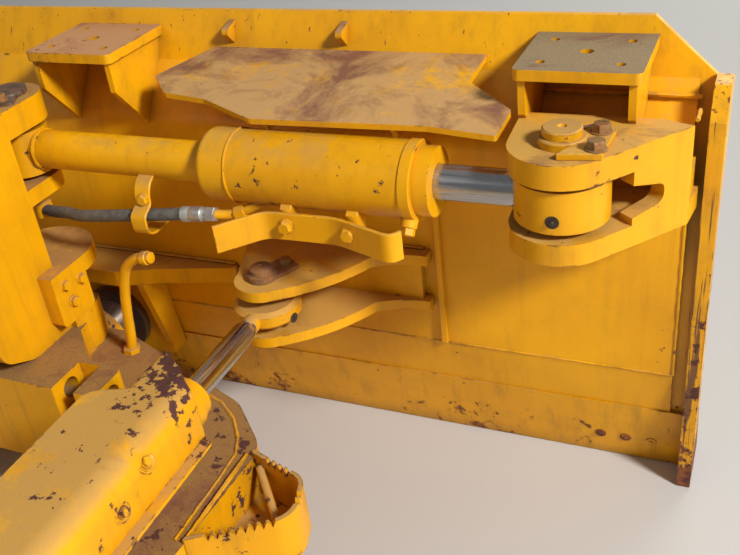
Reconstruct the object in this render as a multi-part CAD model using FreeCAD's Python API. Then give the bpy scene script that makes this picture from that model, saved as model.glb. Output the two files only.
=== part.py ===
import FreeCAD, Part
import math
import os

# Six-way blade assembly of a crawler dozer, in millimetres.
# Blade, C-frame, one tilt cylinder and two angle cylinders, as they hang off the tractor.
# Modelled about the blade: X to the machine's right, Y forward from the blade's back plate, Z up from the ground.
# It is written out about the pivot line of the C-frame's arms, which is the origin.

# Blade
BLADE_HALF = 1550.0
BLADE_HEIGHT = 1080.0
END_PLATE = 30.0
BACK_HALF = 1490.0
BACK_PLATE = 12.0
SEAM_Z = 315.0
LOWER_SEAM_Z = 133.0
LOWER_SEAM_Y = 30.0
EDGE_FOOT_Y = 60.0
EDGE_PLATE = 25.0
EDGE_OVERLAP = 60.0
MOULD_PLATE = 14.0
MOULD_MID_Y = 30.0
MOULD_TOP_Y = 152.0
BEND_Z = 850.0
BEND_R = 60.0
SHELF_Z = 972.0
STRIP_HALF = 1394.0
STRIP_END_Z = 985.0
END_REAR_Y = -12.0
END_PROUD = 28.0
LUG_X = (-730, -440, 440, 730)
LUG_Z = 1012.0
LUG_OUT = 26.0
LUG_H = 12.0
LUG_T = 16.0
RIB_X = 955.0
RIB_TOP = 720.0

# Pads for the masts on top
PAD_W = 240.0
PAD_D = 222.0
PAD_PLATE = 22.0
PAD_Z = 1048.0
PAD_CHEEK = 14.0
PAD_CHEEK_IN = 10.0
PAD_CHEEK_H = 70.0
PAD_HOLE_X = 150.0
PAD_HOLE_Y = 130.0
PAD_HOLE = 17.5
PAD_CENTRE_HOLE = 26.0
PAD_CORNER = 14.0
PAD_END_X = 1287.0
PAD_MID_X = 123.0

# Rock shield over the tilt cylinder
SHIELD_BACK_Z = 1006.0
SHIELD_LOW_Z = 950.0
SHIELD_PLATE = 12.0
SHIELD_WEBS = (560, 880)
SHIELD_WEB_Y = -70.0

# Angle axis, ball and tower
AXIS_Y = -185.0
BALL_Z = 262.0
BALL_R = 65.0
LINER = 8.0
RUN = 0.4
NECK_R = 34.0
NECK_FOOT_R = 78.0
MOUTH_DEG = 64.0
SOCKET_R = 108.0
CAP_BACK = 8.0
CAP_T = 34.0
LINER_OPEN = 26.0
CENTRE_TOP = 462.0
CENTRE_PLATE = 44.0
CENTRE_NOSE_Y = -110.0
CENTRE_NOSE_HALF = 90.0
CENTRE_HALF = 403.0
CENTRE_BASE = 40.0
BALL_SKIRT_Y = 18.0

# Tilt cylinder
TILT_Z = 847.0
TILT_PIN_X = 1283.0
TILT_PIN = 38.0
TILT_TUBE = 45.0
TILT_TUBE_END = 525.0
TILT_BARREL = 79.0
TILT_BARREL_END = 1008.0
TILT_GLAND = 70.0
TILT_GLAND_L = 32.0
TILT_ROD = 36.0
TILT_EYE = 90.0
TILT_EYE_H = 84.0
TILT_EYE_GAP = 10.0
TILT_EYE_PLAY = 3.0
TILT_BASE_EYE = 66.0
TILT_BASE_H = 106.0
TILT_BORE_WALL = 14.0
TILT_BORE = TILT_BARREL - TILT_BORE_WALL
TILT_BALL = 52.0
TILT_BALL_HALF = 30.0
TILT_THROAT = 9.0
TILT_PISTON_X = 700.0
GUARD_X = (540.0, 965.0)
GUARD_LUGS = (690, 850)

# Tilt bracket on the blade
TB_NOSE = 100.0
TB_PLATE = 48.0
TB_RIGHT_X = 1500.0
TB_LEFT_X = 1170.0
TB_CHEEK = 34.0
TB_CORNER_Y = -78.0
TB_BENT_X = 1443.0
TB_BEND_Y = -56.0
TB_DROP = 50.0
TB_LOW_GAP = 16.0
TB_LOW_PLATE = 44.0
TB_CHEEK_IN = 82.0
TB_WEB_Y = -30.0
TB_WINDOW_OUT = 156.0
PIN_HEAD = 44.0
PIN_HEAD_H = 14.0
KEEPER_W = 62.0
KEEPER_L = 84.0

# Tower on the C-frame
TOWER_NOSE = 74.0
TOWER_LOW_NOSE = 66.0
TOWER_TOP_EAR = 65.0
TOWER_LOW_EAR = 40.0
TOWER_GAP = 13.0
TOWER_HALF = 78.0
TOWER_SIDE = 25.0
TOWER_PIN = 32.0
TOWER_FRONT_Y = -292.0
TOWER_TOP_REAR_Y = -320.0
TOWER_SOLE_Y = -430.0
TOWER_HEEL_Y = -533.0
TOWER_HEEL_Z = 463.0
SADDLE_R = 120.0
SADDLE_Y = -228.0
SADDLE_REAR_Y = -350.0
SADDLE_PLATE = 42.0
BLOCK_OUT = 118.0
BLOCK_LOW = 450.0
BLOCK_FRONT_Y = -232.0
WEAR_Z = 588.0

# C-frame
FRAME_TOP = 328.0
FRAME_BOTTOM = 168.0
FRAME_PLATE = 20.0
FRAME_REAR_Y = -515.0
HUMP_TOP = 410.0
NOSE_R = 105.0
NOSE_Y = -245.0
NOSE_TOP = 440.0
NOSE_LOW = 300.0
ARM_IN = 540.0
ARM_OUT = 680.0
PIVOT_Y = -2000.0
PIVOT_Z = 440.0
PIVOT_R = 88.0
PIVOT_BORE = 40.0
PIVOT_IN = 520.0
PIVOT_OUT = 700.0
ARM_H = 170.0
FRAME_JOINT_Y = -900.0
LIFT_X = 222.0
LIFT_Y = -458.0
LIFT_Z = 371.0
LIFT_BORE = 25.0
LIFT_GAP = 62.0
LIFT_SLOT_Y = -412.0

# Angle cylinders
ANGLE_X = 604.0
ANGLE_Z = 498.0
ANGLE_PIN_Y = -200.0
ANGLE_BASE_Y = -1500.0
ANGLE_ROD = 27.0
ANGLE_EYE = 78.0
ANGLE_EYE_H = 44.0
ANGLE_EYE_RIM = 24.0
ANGLE_EYE_NECK = 21.0
ANGLE_EYE_NECK_L = 24.0
ANGLE_EYE_CONE_L = 14.0
ANGLE_GAP = 27.0
ANGLE_NOSE = 66.0
ANGLE_PLATE = 26.0
ANGLE_PIN = 27.0
ANGLE_BARREL = 57.0
BARREL_FRONT_Y = -570.0
ANGLE_GLAND = 50.0
ANGLE_GLAND_L = 26.0
ANGLE_BASE_EYE = 60.0
ANGLE_NECK = 32.0
ANGLE_BASE_BALL = 44.0
ANGLE_BORE = 45.0
ANGLE_PISTON_Y = -980.0
BASE_EAR = 28.0
BASE_GAP = 48.0
BASE_NOSE = 68.0
BASE_PIN = 25.0
ANGLE_TIP_X = 940.0

# Covers and steps
COVER_T = 8.0
COVER_SIDE = 68.0
COVER_TOP = 89.0
COVER_LOW = 33.0
COVER_NOSE_Y = -513.0
COVER_END_Y = -1120.0
COVER_LEAN = 22.0
COVER_BOLTS = ((-779, 38, 84), (-868, 14, 70))
COVER_BEND = 50.0
COVER_WING_X = 470.0
COVER_WING_Y = -672.0
COVER_WING_H = 64.0
STEP_TOP = 340.0
STEP_H = 120.0
STEP_BAND = 10.0
STEP_TOOTH = 14.0
STEP_PITCH = 18.0
STEP_FRONT = (700, -500)
STEP_KNEE = (842, -545)
STEP_TOE = (872, -650)
STEP_REAR = (690, -765)
STEP_BAR = ((716, -518), (800, -612))
STEP_BAR_R = 9.0

SEAT = 0.3


def vec(x, y, z):
    return FreeCAD.Vector(x, y, z)


def box(x0, x1, y0, y1, z0, z1):
    return Part.makeBox(x1 - x0, y1 - y0, z1 - z0, vec(x0, y0, z0))


def rod(radius, start, end):
    """A cylinder from one point to another."""
    a = vec(*start)
    along = vec(*end) - a
    return Part.makeCylinder(radius, along.Length, a, along)


def ring(outer, inner, start, end):
    return rod(outer, start, end).cut(rod(inner, start, end))


def rounded(corners):
    """A closed wire through (u, v, radius) corners, in the XY plane."""
    points = [vec(u, v, 0) for u, v, radius in corners]
    count = len(points)
    ends = []
    for i, (u, v, radius) in enumerate(corners):
        here = points[i]
        back = (points[i - 1] - here).normalize()
        on = (points[(i + 1) % count] - here).normalize()
        if radius <= 0:
            ends.append((here, here, None))
            continue
        half = back.getAngle(on) / 2
        reach = radius / math.tan(half)
        middle = (back + on).normalize() * (radius / math.sin(half) - radius)
        ends.append((here + back * reach, here + on * reach, here + middle))
    edges = []
    for i, (first, last, middle) in enumerate(ends):
        if middle is not None:
            edges.append(Part.Arc(first, middle, last).toShape())
        following = ends[(i + 1) % count][0]
        if last.distanceToPoint(following) > 0.001:
            edges.append(Part.LineSegment(last, following).toShape())
    return Part.Wire(edges)


def plan(corners, z0, z1):
    """A flat plate with an (x, y, radius) outline, from height z0 to z1."""
    face = Part.Face(rounded(corners))
    face.translate(vec(0, 0, z0))
    return face.extrude(vec(0, 0, z1 - z0))


def side(corners, x0, x1):
    """A plate with a (y, z, radius) outline, from x0 to x1."""
    face = Part.Face(rounded(corners))
    turn = FreeCAD.Rotation(vec(1, 1, 1), 120)
    face.Placement = FreeCAD.Placement(vec(x0, 0, 0), turn)
    return face.extrude(vec(x1 - x0, 0, 0))


def front(corners, y0, y1):
    """A plate with an (x, z, radius) outline, from y0 to y1."""
    face = Part.Face(rounded(corners))
    face.Placement = FreeCAD.Placement(vec(0, y0, 0), FreeCAD.Rotation(vec(1, 0, 0), 90))
    return face.extrude(vec(0, y1 - y0, 0))


def mirror(shape):
    return shape.mirror(vec(0, 0, 0), vec(1, 0, 0))


def fuse(shapes):
    whole = shapes[0]
    if len(shapes) > 1:
        whole = whole.fuse(shapes[1:])
    return whole.removeSplitter()


def cut(shape, tools):
    for tool in tools:
        shape = shape.cut(tool)
    return shape


def write(name, shape):
    """Writes a node about the pivot line of the arms."""
    moved = shape.copy()
    moved.translate(vec(0, -PIVOT_Y, -PIVOT_Z))
    moved.exportStep("parts/" + name + ".step")


# The mouldboard's front is one arc through its foot, its middle and its lip.
EDGE_TOP_Z = LOWER_SEAM_Z + EDGE_OVERLAP
LEAN = (LOWER_SEAM_Y - EDGE_FOOT_Y) / LOWER_SEAM_Z


def edge_y(z):
    """Back face of the cutting edge at a height."""
    return EDGE_FOOT_Y + LEAN * z


FOOT = vec(0, edge_y(EDGE_TOP_Z) + EDGE_PLATE, EDGE_TOP_Z)
MIDDLE = vec(0, MOULD_MID_Y, (EDGE_TOP_Z + BLADE_HEIGHT) / 2)
LIP = vec(0, MOULD_TOP_Y, BLADE_HEIGHT)


def arc_at(offset):
    """The mouldboard's front arc, moved back by an offset, as its circle's centre and radius."""
    curve = Part.Circle(FOOT, MIDDLE, LIP)
    return curve.Center, curve.Radius + offset


def mould_y(z, offset):
    """Y of the mouldboard's arc at a height, moved back by an offset."""
    centre, radius = arc_at(offset)
    return centre.y - math.sqrt(radius**2 - (z - centre.z) ** 2)


def mould_section(z0, z1, ahead, behind):
    """A band along the mouldboard's arc between two heights, as a face across X."""
    low, high = z0, z1
    mid = (low + high) / 2
    outer = [vec(0, mould_y(z, behind), z) for z in (low, mid, high)]
    inner = [vec(0, mould_y(z, -ahead), z) for z in (high, mid, low)]
    wire = Part.Wire(
        [
            Part.Arc(*outer).toShape(),
            Part.LineSegment(outer[2], inner[0]).toShape(),
            Part.Arc(*inner).toShape(),
            Part.LineSegment(inner[2], outer[0]).toShape(),
        ]
    )
    return Part.Face(wire)


INNER_HALF = BLADE_HALF - END_PLATE


def back_y(z):
    """Y of the mouldboard's back face at a height."""
    return mould_y(z, MOULD_PLATE)


STRIP_Y = back_y(PAD_Z)
SHELF_Y = back_y(SHELF_Z)
SHELF_SLOPE = (SHELF_Z - BEND_Z) / SHELF_Y


def mouldboard():
    """Curved front plate, from the cutting edge to the lip, its top corners sloped down."""
    face = mould_section(LOWER_SEAM_Z, BLADE_HEIGHT, 0, MOULD_PLATE)
    face.translate(vec(-INNER_HALF, 0, 0))
    plate = face.extrude(vec(2 * INNER_HALF, 0, 0))
    trim = edge_plate(0, INNER_HALF + 1)
    plate = plate.cut(trim)
    return trim_top(plate)


def edge_plate(z0, half):
    """The straight cutting edge plate, leaning forward at its foot."""
    top = EDGE_TOP_Z
    corners = [
        (edge_y(z0), z0, 0),
        (edge_y(z0) + EDGE_PLATE, z0, 0),
        (edge_y(top) + EDGE_PLATE, top, 0),
        (edge_y(top), top, 0),
    ]
    return side(corners, -half, half)


def trim_top(shape):
    """Cuts the sloping top corners off whatever reaches the lip."""
    for sign in (-1, 1):
        corners = [
            (STRIP_HALF, BLADE_HEIGHT, 0),
            (BLADE_HALF, STRIP_END_Z - (BLADE_HALF - INNER_HALF), 0),
            (BLADE_HALF, BLADE_HEIGHT + 50, 0),
            (STRIP_HALF, BLADE_HEIGHT + 50, 0),
        ]
        wedge = front(corners, -100, 400)
        shape = shape.cut(wedge if sign > 0 else mirror(wedge))
    return shape


def end_bits():
    """Two corner bits of the cutting edge, out to the end plates."""
    whole = edge_plate(0, INNER_HALF)
    return whole.cut(box(-BACK_HALF, BACK_HALF, -100, 300, -10, EDGE_TOP_Z + 10))


def back_skin(depth):
    """Outline of the blade's back, moved in by a depth: lower seam, main seam, bend and shelf."""
    return [
        (LOWER_SEAM_Y + depth, LOWER_SEAM_Z, 0),
        (depth, SEAM_Z, 0),
        (depth, BEND_Z - depth * 0.6, BEND_R - depth),
        (SHELF_Y + 40, SHELF_Z + 40 * SHELF_SLOPE - depth, 0),
    ]


def blade_core():
    """Everything ahead of the blade's back, to trim what is welded on behind."""
    skin = back_skin(-SEAT)
    box_room = side(skin + [(600, skin[-1][1], 0), (600, LOWER_SEAM_Z, 0)], -BLADE_HALF, BLADE_HALF)
    return box_room.fuse(mould_room(SEAT))


def mould_room(gap):
    """Everything ahead of the mouldboard's back, and a gap behind it."""
    face = mould_section(0, BLADE_HEIGHT + 10, 400, MOULD_PLATE + gap)
    face.translate(vec(-BLADE_HALF, 0, 0))
    return face.extrude(vec(2 * BLADE_HALF, 0, 0))


def back_panel():
    """The bent closing plate of the blade's back, from the lower seam up to the shelf."""
    outline = back_skin(0) + back_skin(BACK_PLATE)[::-1]
    panel = side(outline, -BACK_HALF, BACK_HALF)
    return panel.cut(mould_room(0)).cut(edge_plate(0, BLADE_HALF))


def top_lugs():
    """Small lifting lugs on the mouldboard's back, under the lip."""
    lugs = []
    for x in LUG_X:
        corners = [
            (STRIP_Y + 60, LUG_Z, 0),
            (back_y(LUG_Z), LUG_Z, 0),
            (back_y(LUG_Z) - LUG_OUT, LUG_Z + LUG_OUT, LUG_OUT / 3),
            (back_y(LUG_Z) - LUG_OUT + 4, LUG_Z + LUG_OUT + LUG_H, LUG_OUT / 3),
            (STRIP_Y + 60, LUG_Z + 2 * LUG_OUT + LUG_H, 0),
        ]
        lugs.append(side(corners, x - LUG_T / 2, x + LUG_T / 2).cut(mould_room(SEAT)))
    return Part.makeCompound(lugs)


def end_plate():
    """Right end plate: straight at the back, curved like the mouldboard in front."""
    foot_y = mould_y(EDGE_TOP_Z, -END_PROUD) + 78
    top = STRIP_END_Z
    a = vec(0, foot_y, 0)
    b = vec(0, mould_y(330, -END_PROUD) + 4, 330)
    c = vec(0, mould_y(560, -END_PROUD), 560)
    d = vec(0, mould_y(800, -END_PROUD), 800)
    e = vec(0, mould_y(top - 25, -END_PROUD), top - 25)
    wire = Part.Wire(
        [
            Part.LineSegment(vec(0, END_REAR_Y, 0), a).toShape(),
            Part.Arc(a, vec(0, (a.y + b.y) / 2 - 16, 150), b).toShape(),
            Part.Arc(b, vec(0, mould_y(450, -END_PROUD), 450), c).toShape(),
            Part.Arc(c, vec(0, mould_y(690, -END_PROUD), 690), d).toShape(),
            Part.Arc(d, vec(0, mould_y(890, -END_PROUD), 890), e).toShape(),
            Part.LineSegment(e, vec(0, e.y - 45, top)).toShape(),
            Part.LineSegment(vec(0, e.y - 45, top), vec(0, 30, top)).toShape(),
            Part.LineSegment(vec(0, 30, top), vec(0, END_REAR_Y, top - 60)).toShape(),
            Part.LineSegment(vec(0, END_REAR_Y, top - 60), vec(0, END_REAR_Y, 0)).toShape(),
        ]
    )
    face = Part.Face(wire)
    face.translate(vec(INNER_HALF, 0, 0))
    return face.extrude(vec(END_PLATE, 0, 0))


def mast_pad(x):
    """A bolt-on pad: a drilled top plate on two cheeks that stand on the shelf."""
    y0 = STRIP_Y - PAD_D
    y1 = STRIP_Y + 60
    half = PAD_W / 2
    corners = [
        (x - half, y0, PAD_CORNER),
        (x + half, y0, PAD_CORNER),
        (x + half, y1, 0),
        (x - half, y1, 0),
    ]
    top = plan(corners, PAD_Z - PAD_PLATE, PAD_Z)
    cheeks = []
    for sign in (-1, 1):
        outer = x + sign * (half - PAD_CHEEK_IN)
        inner = outer - sign * PAD_CHEEK
        profile = [
            (y0 + 8, PAD_Z - PAD_PLATE, 0),
            (y0 + 8, PAD_Z - PAD_PLATE - PAD_CHEEK_H, 0),
            (BACK_PLATE, BEND_Z - 20, 0),
            (y1, SHELF_Z - 30, 0),
            (y1, PAD_Z - PAD_PLATE, 0),
        ]
        cheeks.append(side(profile, min(outer, inner), max(outer, inner)))
    pad = fuse([top] + cheeks).cut(blade_core())
    centre_y = STRIP_Y - PAD_D / 2
    holes = []
    for dx in (-PAD_HOLE_X / 2, PAD_HOLE_X / 2):
        for dy in (-PAD_HOLE_Y / 2, PAD_HOLE_Y / 2):
            holes.append(rod(PAD_HOLE / 2, (x + dx, centre_y + dy, PAD_Z - 40), (x + dx, centre_y + dy, PAD_Z + 5)))
    holes.append(rod(PAD_CENTRE_HOLE / 2, (x, centre_y, PAD_Z - 40), (x, centre_y, PAD_Z + 5)))
    return cut(pad, holes)


def rock_shield():
    """Sloping plate over the tilt cylinder, welded under the lip."""
    slope = (SHIELD_BACK_Z - SHIELD_LOW_Z) / (STRIP_Y - AXIS_Y)
    corners = [
        (445, STRIP_Y + 60, 0),
        (307, -31, 10),
        (373, -98, 12),
        (485, -114, 40),
        (629, -177, 30),
        (1017, -165, 60),
        (1160, -183, 6),
        (1166, -96, 10),
        (1052, 0, 30),
        (1068, STRIP_Y + 60, 0),
    ]
    thick = SHIELD_PLATE
    lean = side(
        [
            (-400, SHIELD_BACK_Z + slope * (-400 - STRIP_Y) - thick, 0),
            (STRIP_Y + 60, SHIELD_BACK_Z + slope * 60 - thick, 0),
            (STRIP_Y + 60, SHIELD_BACK_Z + slope * 60, 0),
            (-400, SHIELD_BACK_Z + slope * (-400 - STRIP_Y), 0),
        ],
        0,
        BLADE_HALF,
    )
    plate = plan(corners, 0, BLADE_HEIGHT).common(lean)
    webs = []
    for x in SHIELD_WEBS:
        profile = [
            (STRIP_Y, SHIELD_BACK_Z - thick + 1, 0),
            (STRIP_Y, SHELF_Z - 30, 0),
            (BACK_PLATE, BEND_Z - 20, 0),
            (SHIELD_WEB_Y, SHIELD_BACK_Z + slope * (SHIELD_WEB_Y - STRIP_Y) - thick + 1, 0),
        ]
        webs.append(side(profile, x - 6, x + 6))
    return fuse([plate] + webs).cut(blade_core())


def tangent(centre, radius, point):
    """Point where the line from a point runs onto a circle, the point to the line's right."""
    out = point - centre
    turn = math.acos(radius / out.Length)
    heading = math.atan2(out.y, out.x) - turn
    return centre + vec(math.cos(heading), math.sin(heading), 0) * radius


def eared(points, left, nose, z0, z1):
    """A plate through a chain of points that closes round the pin in one arc, from height z0 to z1."""
    edges = [Part.LineSegment(a, b).toShape() for a, b in zip(points, points[1:])]
    edges.append(Part.LineSegment(points[-1], left).toShape())
    edges.append(Part.Arc(left, nose - vec(0, TB_NOSE, 0), points[0]).toShape())
    face = Part.Face(Part.Wire(edges))
    face.translate(vec(0, 0, z0))
    return face.extrude(vec(0, 0, z1 - z0))


def tilt_bracket():
    """Two thick eared plates and a cheek with a triangular window, on the blade's right back."""
    nose = vec(TILT_PIN_X, AXIS_Y, 0)
    high = TILT_Z + TILT_EYE_H / 2 + TILT_EYE_GAP
    low = TILT_Z - TILT_EYE_H / 2 - TB_LOW_GAP
    corner = vec(TB_RIGHT_X, TB_CORNER_Y, 0)
    touch = tangent(nose, TB_NOSE, corner)
    left = nose - vec(TB_NOSE, 0, 0)
    upper = [touch, corner, vec(TB_BENT_X, TB_BEND_Y, 0), vec(TB_BENT_X, 40, 0), vec(TB_LEFT_X, 40, 0)]
    lower = [touch, corner, vec(TB_RIGHT_X + 10, -SEAT, 0), vec(TB_LEFT_X, -SEAT, 0)]
    bent = side(
        [
            (-400, high, 0),
            (TB_BEND_Y - 10, high, 0),
            (40, high - TB_DROP, 0),
            (40, high - TB_DROP + TB_PLATE, 0),
            (TB_BEND_Y, high + TB_PLATE, 0),
            (-400, high + TB_PLATE, 0),
        ],
        TB_LEFT_X - 100,
        BLADE_HALF,
    )
    top = eared(upper, left, nose, high - TB_DROP, high + TB_PLATE).common(bent)
    bottom = eared(lower, left, nose, low - TB_LOW_PLATE, low)
    run = corner - touch
    z0, z1 = low - 1, high + 1
    cheek = front([(TB_CHEEK_IN, z0, 0), (run.Length, z0, 0), (run.Length, z1, 0), (TB_CHEEK_IN, z1, 0)], 0, TB_CHEEK)
    window = [
        (0, low + 1, 0),
        (TB_WINDOW_OUT, TILT_Z - 30, 22),
        (TB_WINDOW_OUT, TILT_Z + 6, 14),
        (0, high - 8, 0),
    ]
    cheek = cheek.cut(front(window, -1, TB_CHEEK + 1))
    cheek.rotate(vec(0, 0, 0), vec(0, 0, 1), math.degrees(math.atan2(run.y, run.x)))
    cheek.translate(touch)
    back = box(TB_LEFT_X + 30, TB_RIGHT_X - 20, TB_WEB_Y, -SEAT, z0, BEND_Z)
    end = box(TB_RIGHT_X - TB_CHEEK, TB_RIGHT_X, TB_CORNER_Y + 4, -SEAT, z0, BEND_Z)
    bore = rod(TILT_PIN + RUN, (nose.x, nose.y, TILT_Z - 200), (nose.x, nose.y, TILT_Z + 200))
    return fuse([top.cut(blade_core()), bottom, cheek, back, end]).cut(bore)


def bracket_room():
    """All that lies under the top face of the tilt bracket, to seat the right pad's cheeks on it."""
    top = TILT_Z + TILT_EYE_H / 2 + TILT_EYE_GAP + TB_PLATE + SEAT
    corners = [
        (-400, 0, 0),
        (-400, top, 0),
        (TB_BEND_Y, top, 0),
        (40, top - TB_DROP, 0),
        (40, 0, 0),
    ]
    return side(corners, TB_LEFT_X, BLADE_HALF)


def tilt_pin():
    """Pin of the tilt cylinder's eye, with its head plate on the upper ear."""
    high = TILT_Z + TILT_EYE_H / 2 + TILT_EYE_GAP + TB_PLATE
    low = TILT_Z - TILT_EYE_H / 2 - TB_LOW_GAP - TB_LOW_PLATE - 8
    return pin(TILT_PIN_X, AXIS_Y, low, high, TILT_PIN, PIN_HEAD, PIN_HEAD_H, 35)


def pin(x, y, z0, z1, radius, head, head_h, keeper_turn):
    """A pin with a thick head plate and a keeper ear, from z0 up to z1."""
    shaft = rod(radius, (x, y, z0), (x, y, z1 + SEAT))
    cap = rod(head, (x, y, z1 + SEAT), (x, y, z1 + SEAT + head_h))
    ear = plan(
        [
            (0, -KEEPER_W / 2, 0),
            (KEEPER_L, -KEEPER_W / 2, 8),
            (KEEPER_L, KEEPER_W / 2, 8),
            (0, KEEPER_W / 2, 0),
        ],
        z1 + SEAT,
        z1 + SEAT + head_h * 0.7,
    )
    ear.rotate(vec(0, 0, 0), vec(0, 0, 1), keeper_turn)
    ear.translate(vec(x, y, 0))
    return fuse([shaft, cap, ear])


def angle_bracket():
    """Right angle-cylinder bracket: two S-curved ears that run out to a rib, joined by a web."""
    x, y, nose = ANGLE_X, ANGLE_PIN_Y, ANGLE_NOSE
    half_gap = ANGLE_EYE_H / 2 + ANGLE_GAP
    back = -SEAT
    ears = []
    for z0 in (ANGLE_Z + half_gap, ANGLE_Z - half_gap - ANGLE_PLATE):
        edge = [
            Part.LineSegment(vec(x - nose - 70, back, z0), vec(x - nose, y, z0)).toShape(),
            Part.Arc(vec(x - nose, y, z0), vec(x, y - nose, z0), vec(x + nose * 0.6, y - nose * 0.8, z0)).toShape(),
            Part.Arc(
                vec(x + nose * 0.6, y - nose * 0.8, z0),
                vec(x + 130, y + 20, z0),
                vec(x + 210, -66, z0),
            ).toShape(),
            Part.Arc(vec(x + 210, -66, z0), vec(x + 265, -42, z0), vec(ANGLE_TIP_X, -34, z0)).toShape(),
            Part.LineSegment(vec(ANGLE_TIP_X, -34, z0), vec(ANGLE_TIP_X, back, z0)).toShape(),
            Part.LineSegment(vec(ANGLE_TIP_X, back, z0), vec(x - nose - 70, back, z0)).toShape(),
        ]
        face = Part.Face(Part.Wire(edge))
        ears.append(face.extrude(vec(0, 0, ANGLE_PLATE)))
    web = box(x - nose - 50, ANGLE_TIP_X - 20, -24, back, ANGLE_Z - half_gap - 1, ANGLE_Z + half_gap + 1)
    whole = fuse(ears + [web])
    return whole.cut(rod(ANGLE_PIN + RUN, (x, y, 300), (x, y, 700)))


def angle_pin():
    """Head and foot of the bracket's pin: the eye's own share of the pin stays in the eye."""
    x, y = ANGLE_X, ANGLE_PIN_Y
    half_gap = ANGLE_EYE_H / 2 + ANGLE_GAP
    top = ANGLE_Z + half_gap + ANGLE_PLATE
    head = pin(x, y, ANGLE_Z + half_gap, top, ANGLE_PIN, ANGLE_PIN + 8, 12, 60)
    foot_z = ANGLE_Z - half_gap - ANGLE_PLATE
    foot = rod(ANGLE_PIN, (x, y, foot_z - 6), (x, y, ANGLE_Z - half_gap))
    return Part.makeCompound([head, foot])


def centre_bracket():
    """Nose on the blade's back that carries the ball stud, with its top plate and webs."""
    back = -SEAT
    corners = [
        (-CENTRE_HALF, back, 0),
        (-CENTRE_HALF, -20, 10),
        (-CENTRE_NOSE_HALF - 110, CENTRE_NOSE_Y + 40, 60),
        (-CENTRE_NOSE_HALF, CENTRE_NOSE_Y, 20),
        (CENTRE_NOSE_HALF, CENTRE_NOSE_Y, 20),
        (CENTRE_NOSE_HALF + 110, CENTRE_NOSE_Y + 40, 60),
        (CENTRE_HALF, -20, 10),
        (CENTRE_HALF, back, 0),
    ]
    top = plan(corners, CENTRE_TOP - CENTRE_PLATE, CENTRE_TOP)
    webs = []
    for sign in (-1, 1):
        profile = [
            (back, CENTRE_TOP - CENTRE_PLATE, 0),
            (-96, CENTRE_TOP - CENTRE_PLATE, 0),
            (-40, BALL_Z - 70, 20),
            (back, BALL_Z - 70, 0),
        ]
        x0 = sign * 140
        webs.append(side(profile, min(x0, x0 + sign * 20), max(x0, x0 + sign * 20)))
    base = box(-160, 160, -CENTRE_BASE, back, BALL_Z - 100, CENTRE_TOP - CENTRE_PLATE + 1)
    lower = base.common(box(-160, 160, -200, back, SEAM_Z, 600))
    skirt = side(
        [(back, SEAM_Z, 0), (-CENTRE_BASE, SEAM_Z, 0), (-CENTRE_BASE, BALL_Z - 100, 0), (BALL_SKIRT_Y, BALL_Z - 100, 0)],
        -160,
        160,
    )
    return fuse([top, lower, skirt] + webs)


def ball_stud():
    """Ball on a flared neck that bolts to the blade's centre bracket."""
    y0 = AXIS_Y
    foot = -CENTRE_BASE - SEAT
    profile = [
        vec(0, 0, 0),
        vec(NECK_FOOT_R + 22, 0, 0),
        vec(NECK_FOOT_R + 22, 22, 0),
        vec(NECK_FOOT_R - 14, 22, 0),
        vec(NECK_R, foot - y0 - BALL_R + 16, 0),
        vec(NECK_R, foot - y0 - BALL_R * 0.5, 0),
        vec(0, foot - y0 - BALL_R * 0.5, 0),
        vec(0, 0, 0),
    ]
    edges = [Part.LineSegment(a, b).toShape() for a, b in zip(profile, profile[1:])]
    face = Part.Face(Part.Wire(edges))
    neck = face.revolve(vec(0, 0, 0), vec(0, 1, 0), 360)
    neck.rotate(vec(0, 0, 0), vec(0, 0, 1), 180)
    neck.translate(vec(0, foot, BALL_Z))
    ball = Part.makeSphere(BALL_R, vec(0, y0, BALL_Z))
    return fuse([neck, ball])


def ball_liner():
    """Bearing shell between ball and socket, open to the front for the neck."""
    outer = Part.makeSphere(BALL_R + LINER, vec(0, AXIS_Y, BALL_Z))
    inner = Part.makeSphere(BALL_R + RUN, vec(0, AXIS_Y, BALL_Z))
    shell = outer.cut(inner)
    mouth = box(-100, 100, AXIS_Y + LINER_OPEN, AXIS_Y + 120, BALL_Z - 100, BALL_Z + 100)
    return shell.cut(mouth)


def socket_hole(reach):
    """Room of the socket: a ball space and a mouth that flares towards the blade."""
    hole = Part.makeSphere(BALL_R + LINER + RUN, vec(0, AXIS_Y, BALL_Z))
    wide = math.tan(math.radians(MOUTH_DEG)) * reach
    mouth = Part.makeCone(0, wide, reach, vec(0, AXIS_Y, BALL_Z), vec(0, 1, 0))
    return hole.fuse(mouth)


FRAME_HALF = [
    (0, -110, 0),
    (SOCKET_R, AXIS_Y + 20, 30),
    (581, -360, 90),
    (702, -480, 90),
    (692, -680, 200),
    (ARM_OUT, -850, 120),
    (ARM_OUT, FRAME_JOINT_Y, 0),
    (ARM_IN, FRAME_JOINT_Y, 0),
    (ARM_IN, -760, 120),
    (430, -640, 120),
    (350, FRAME_REAR_Y, 80),
    (0, FRAME_REAR_Y, 0),
]


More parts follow.
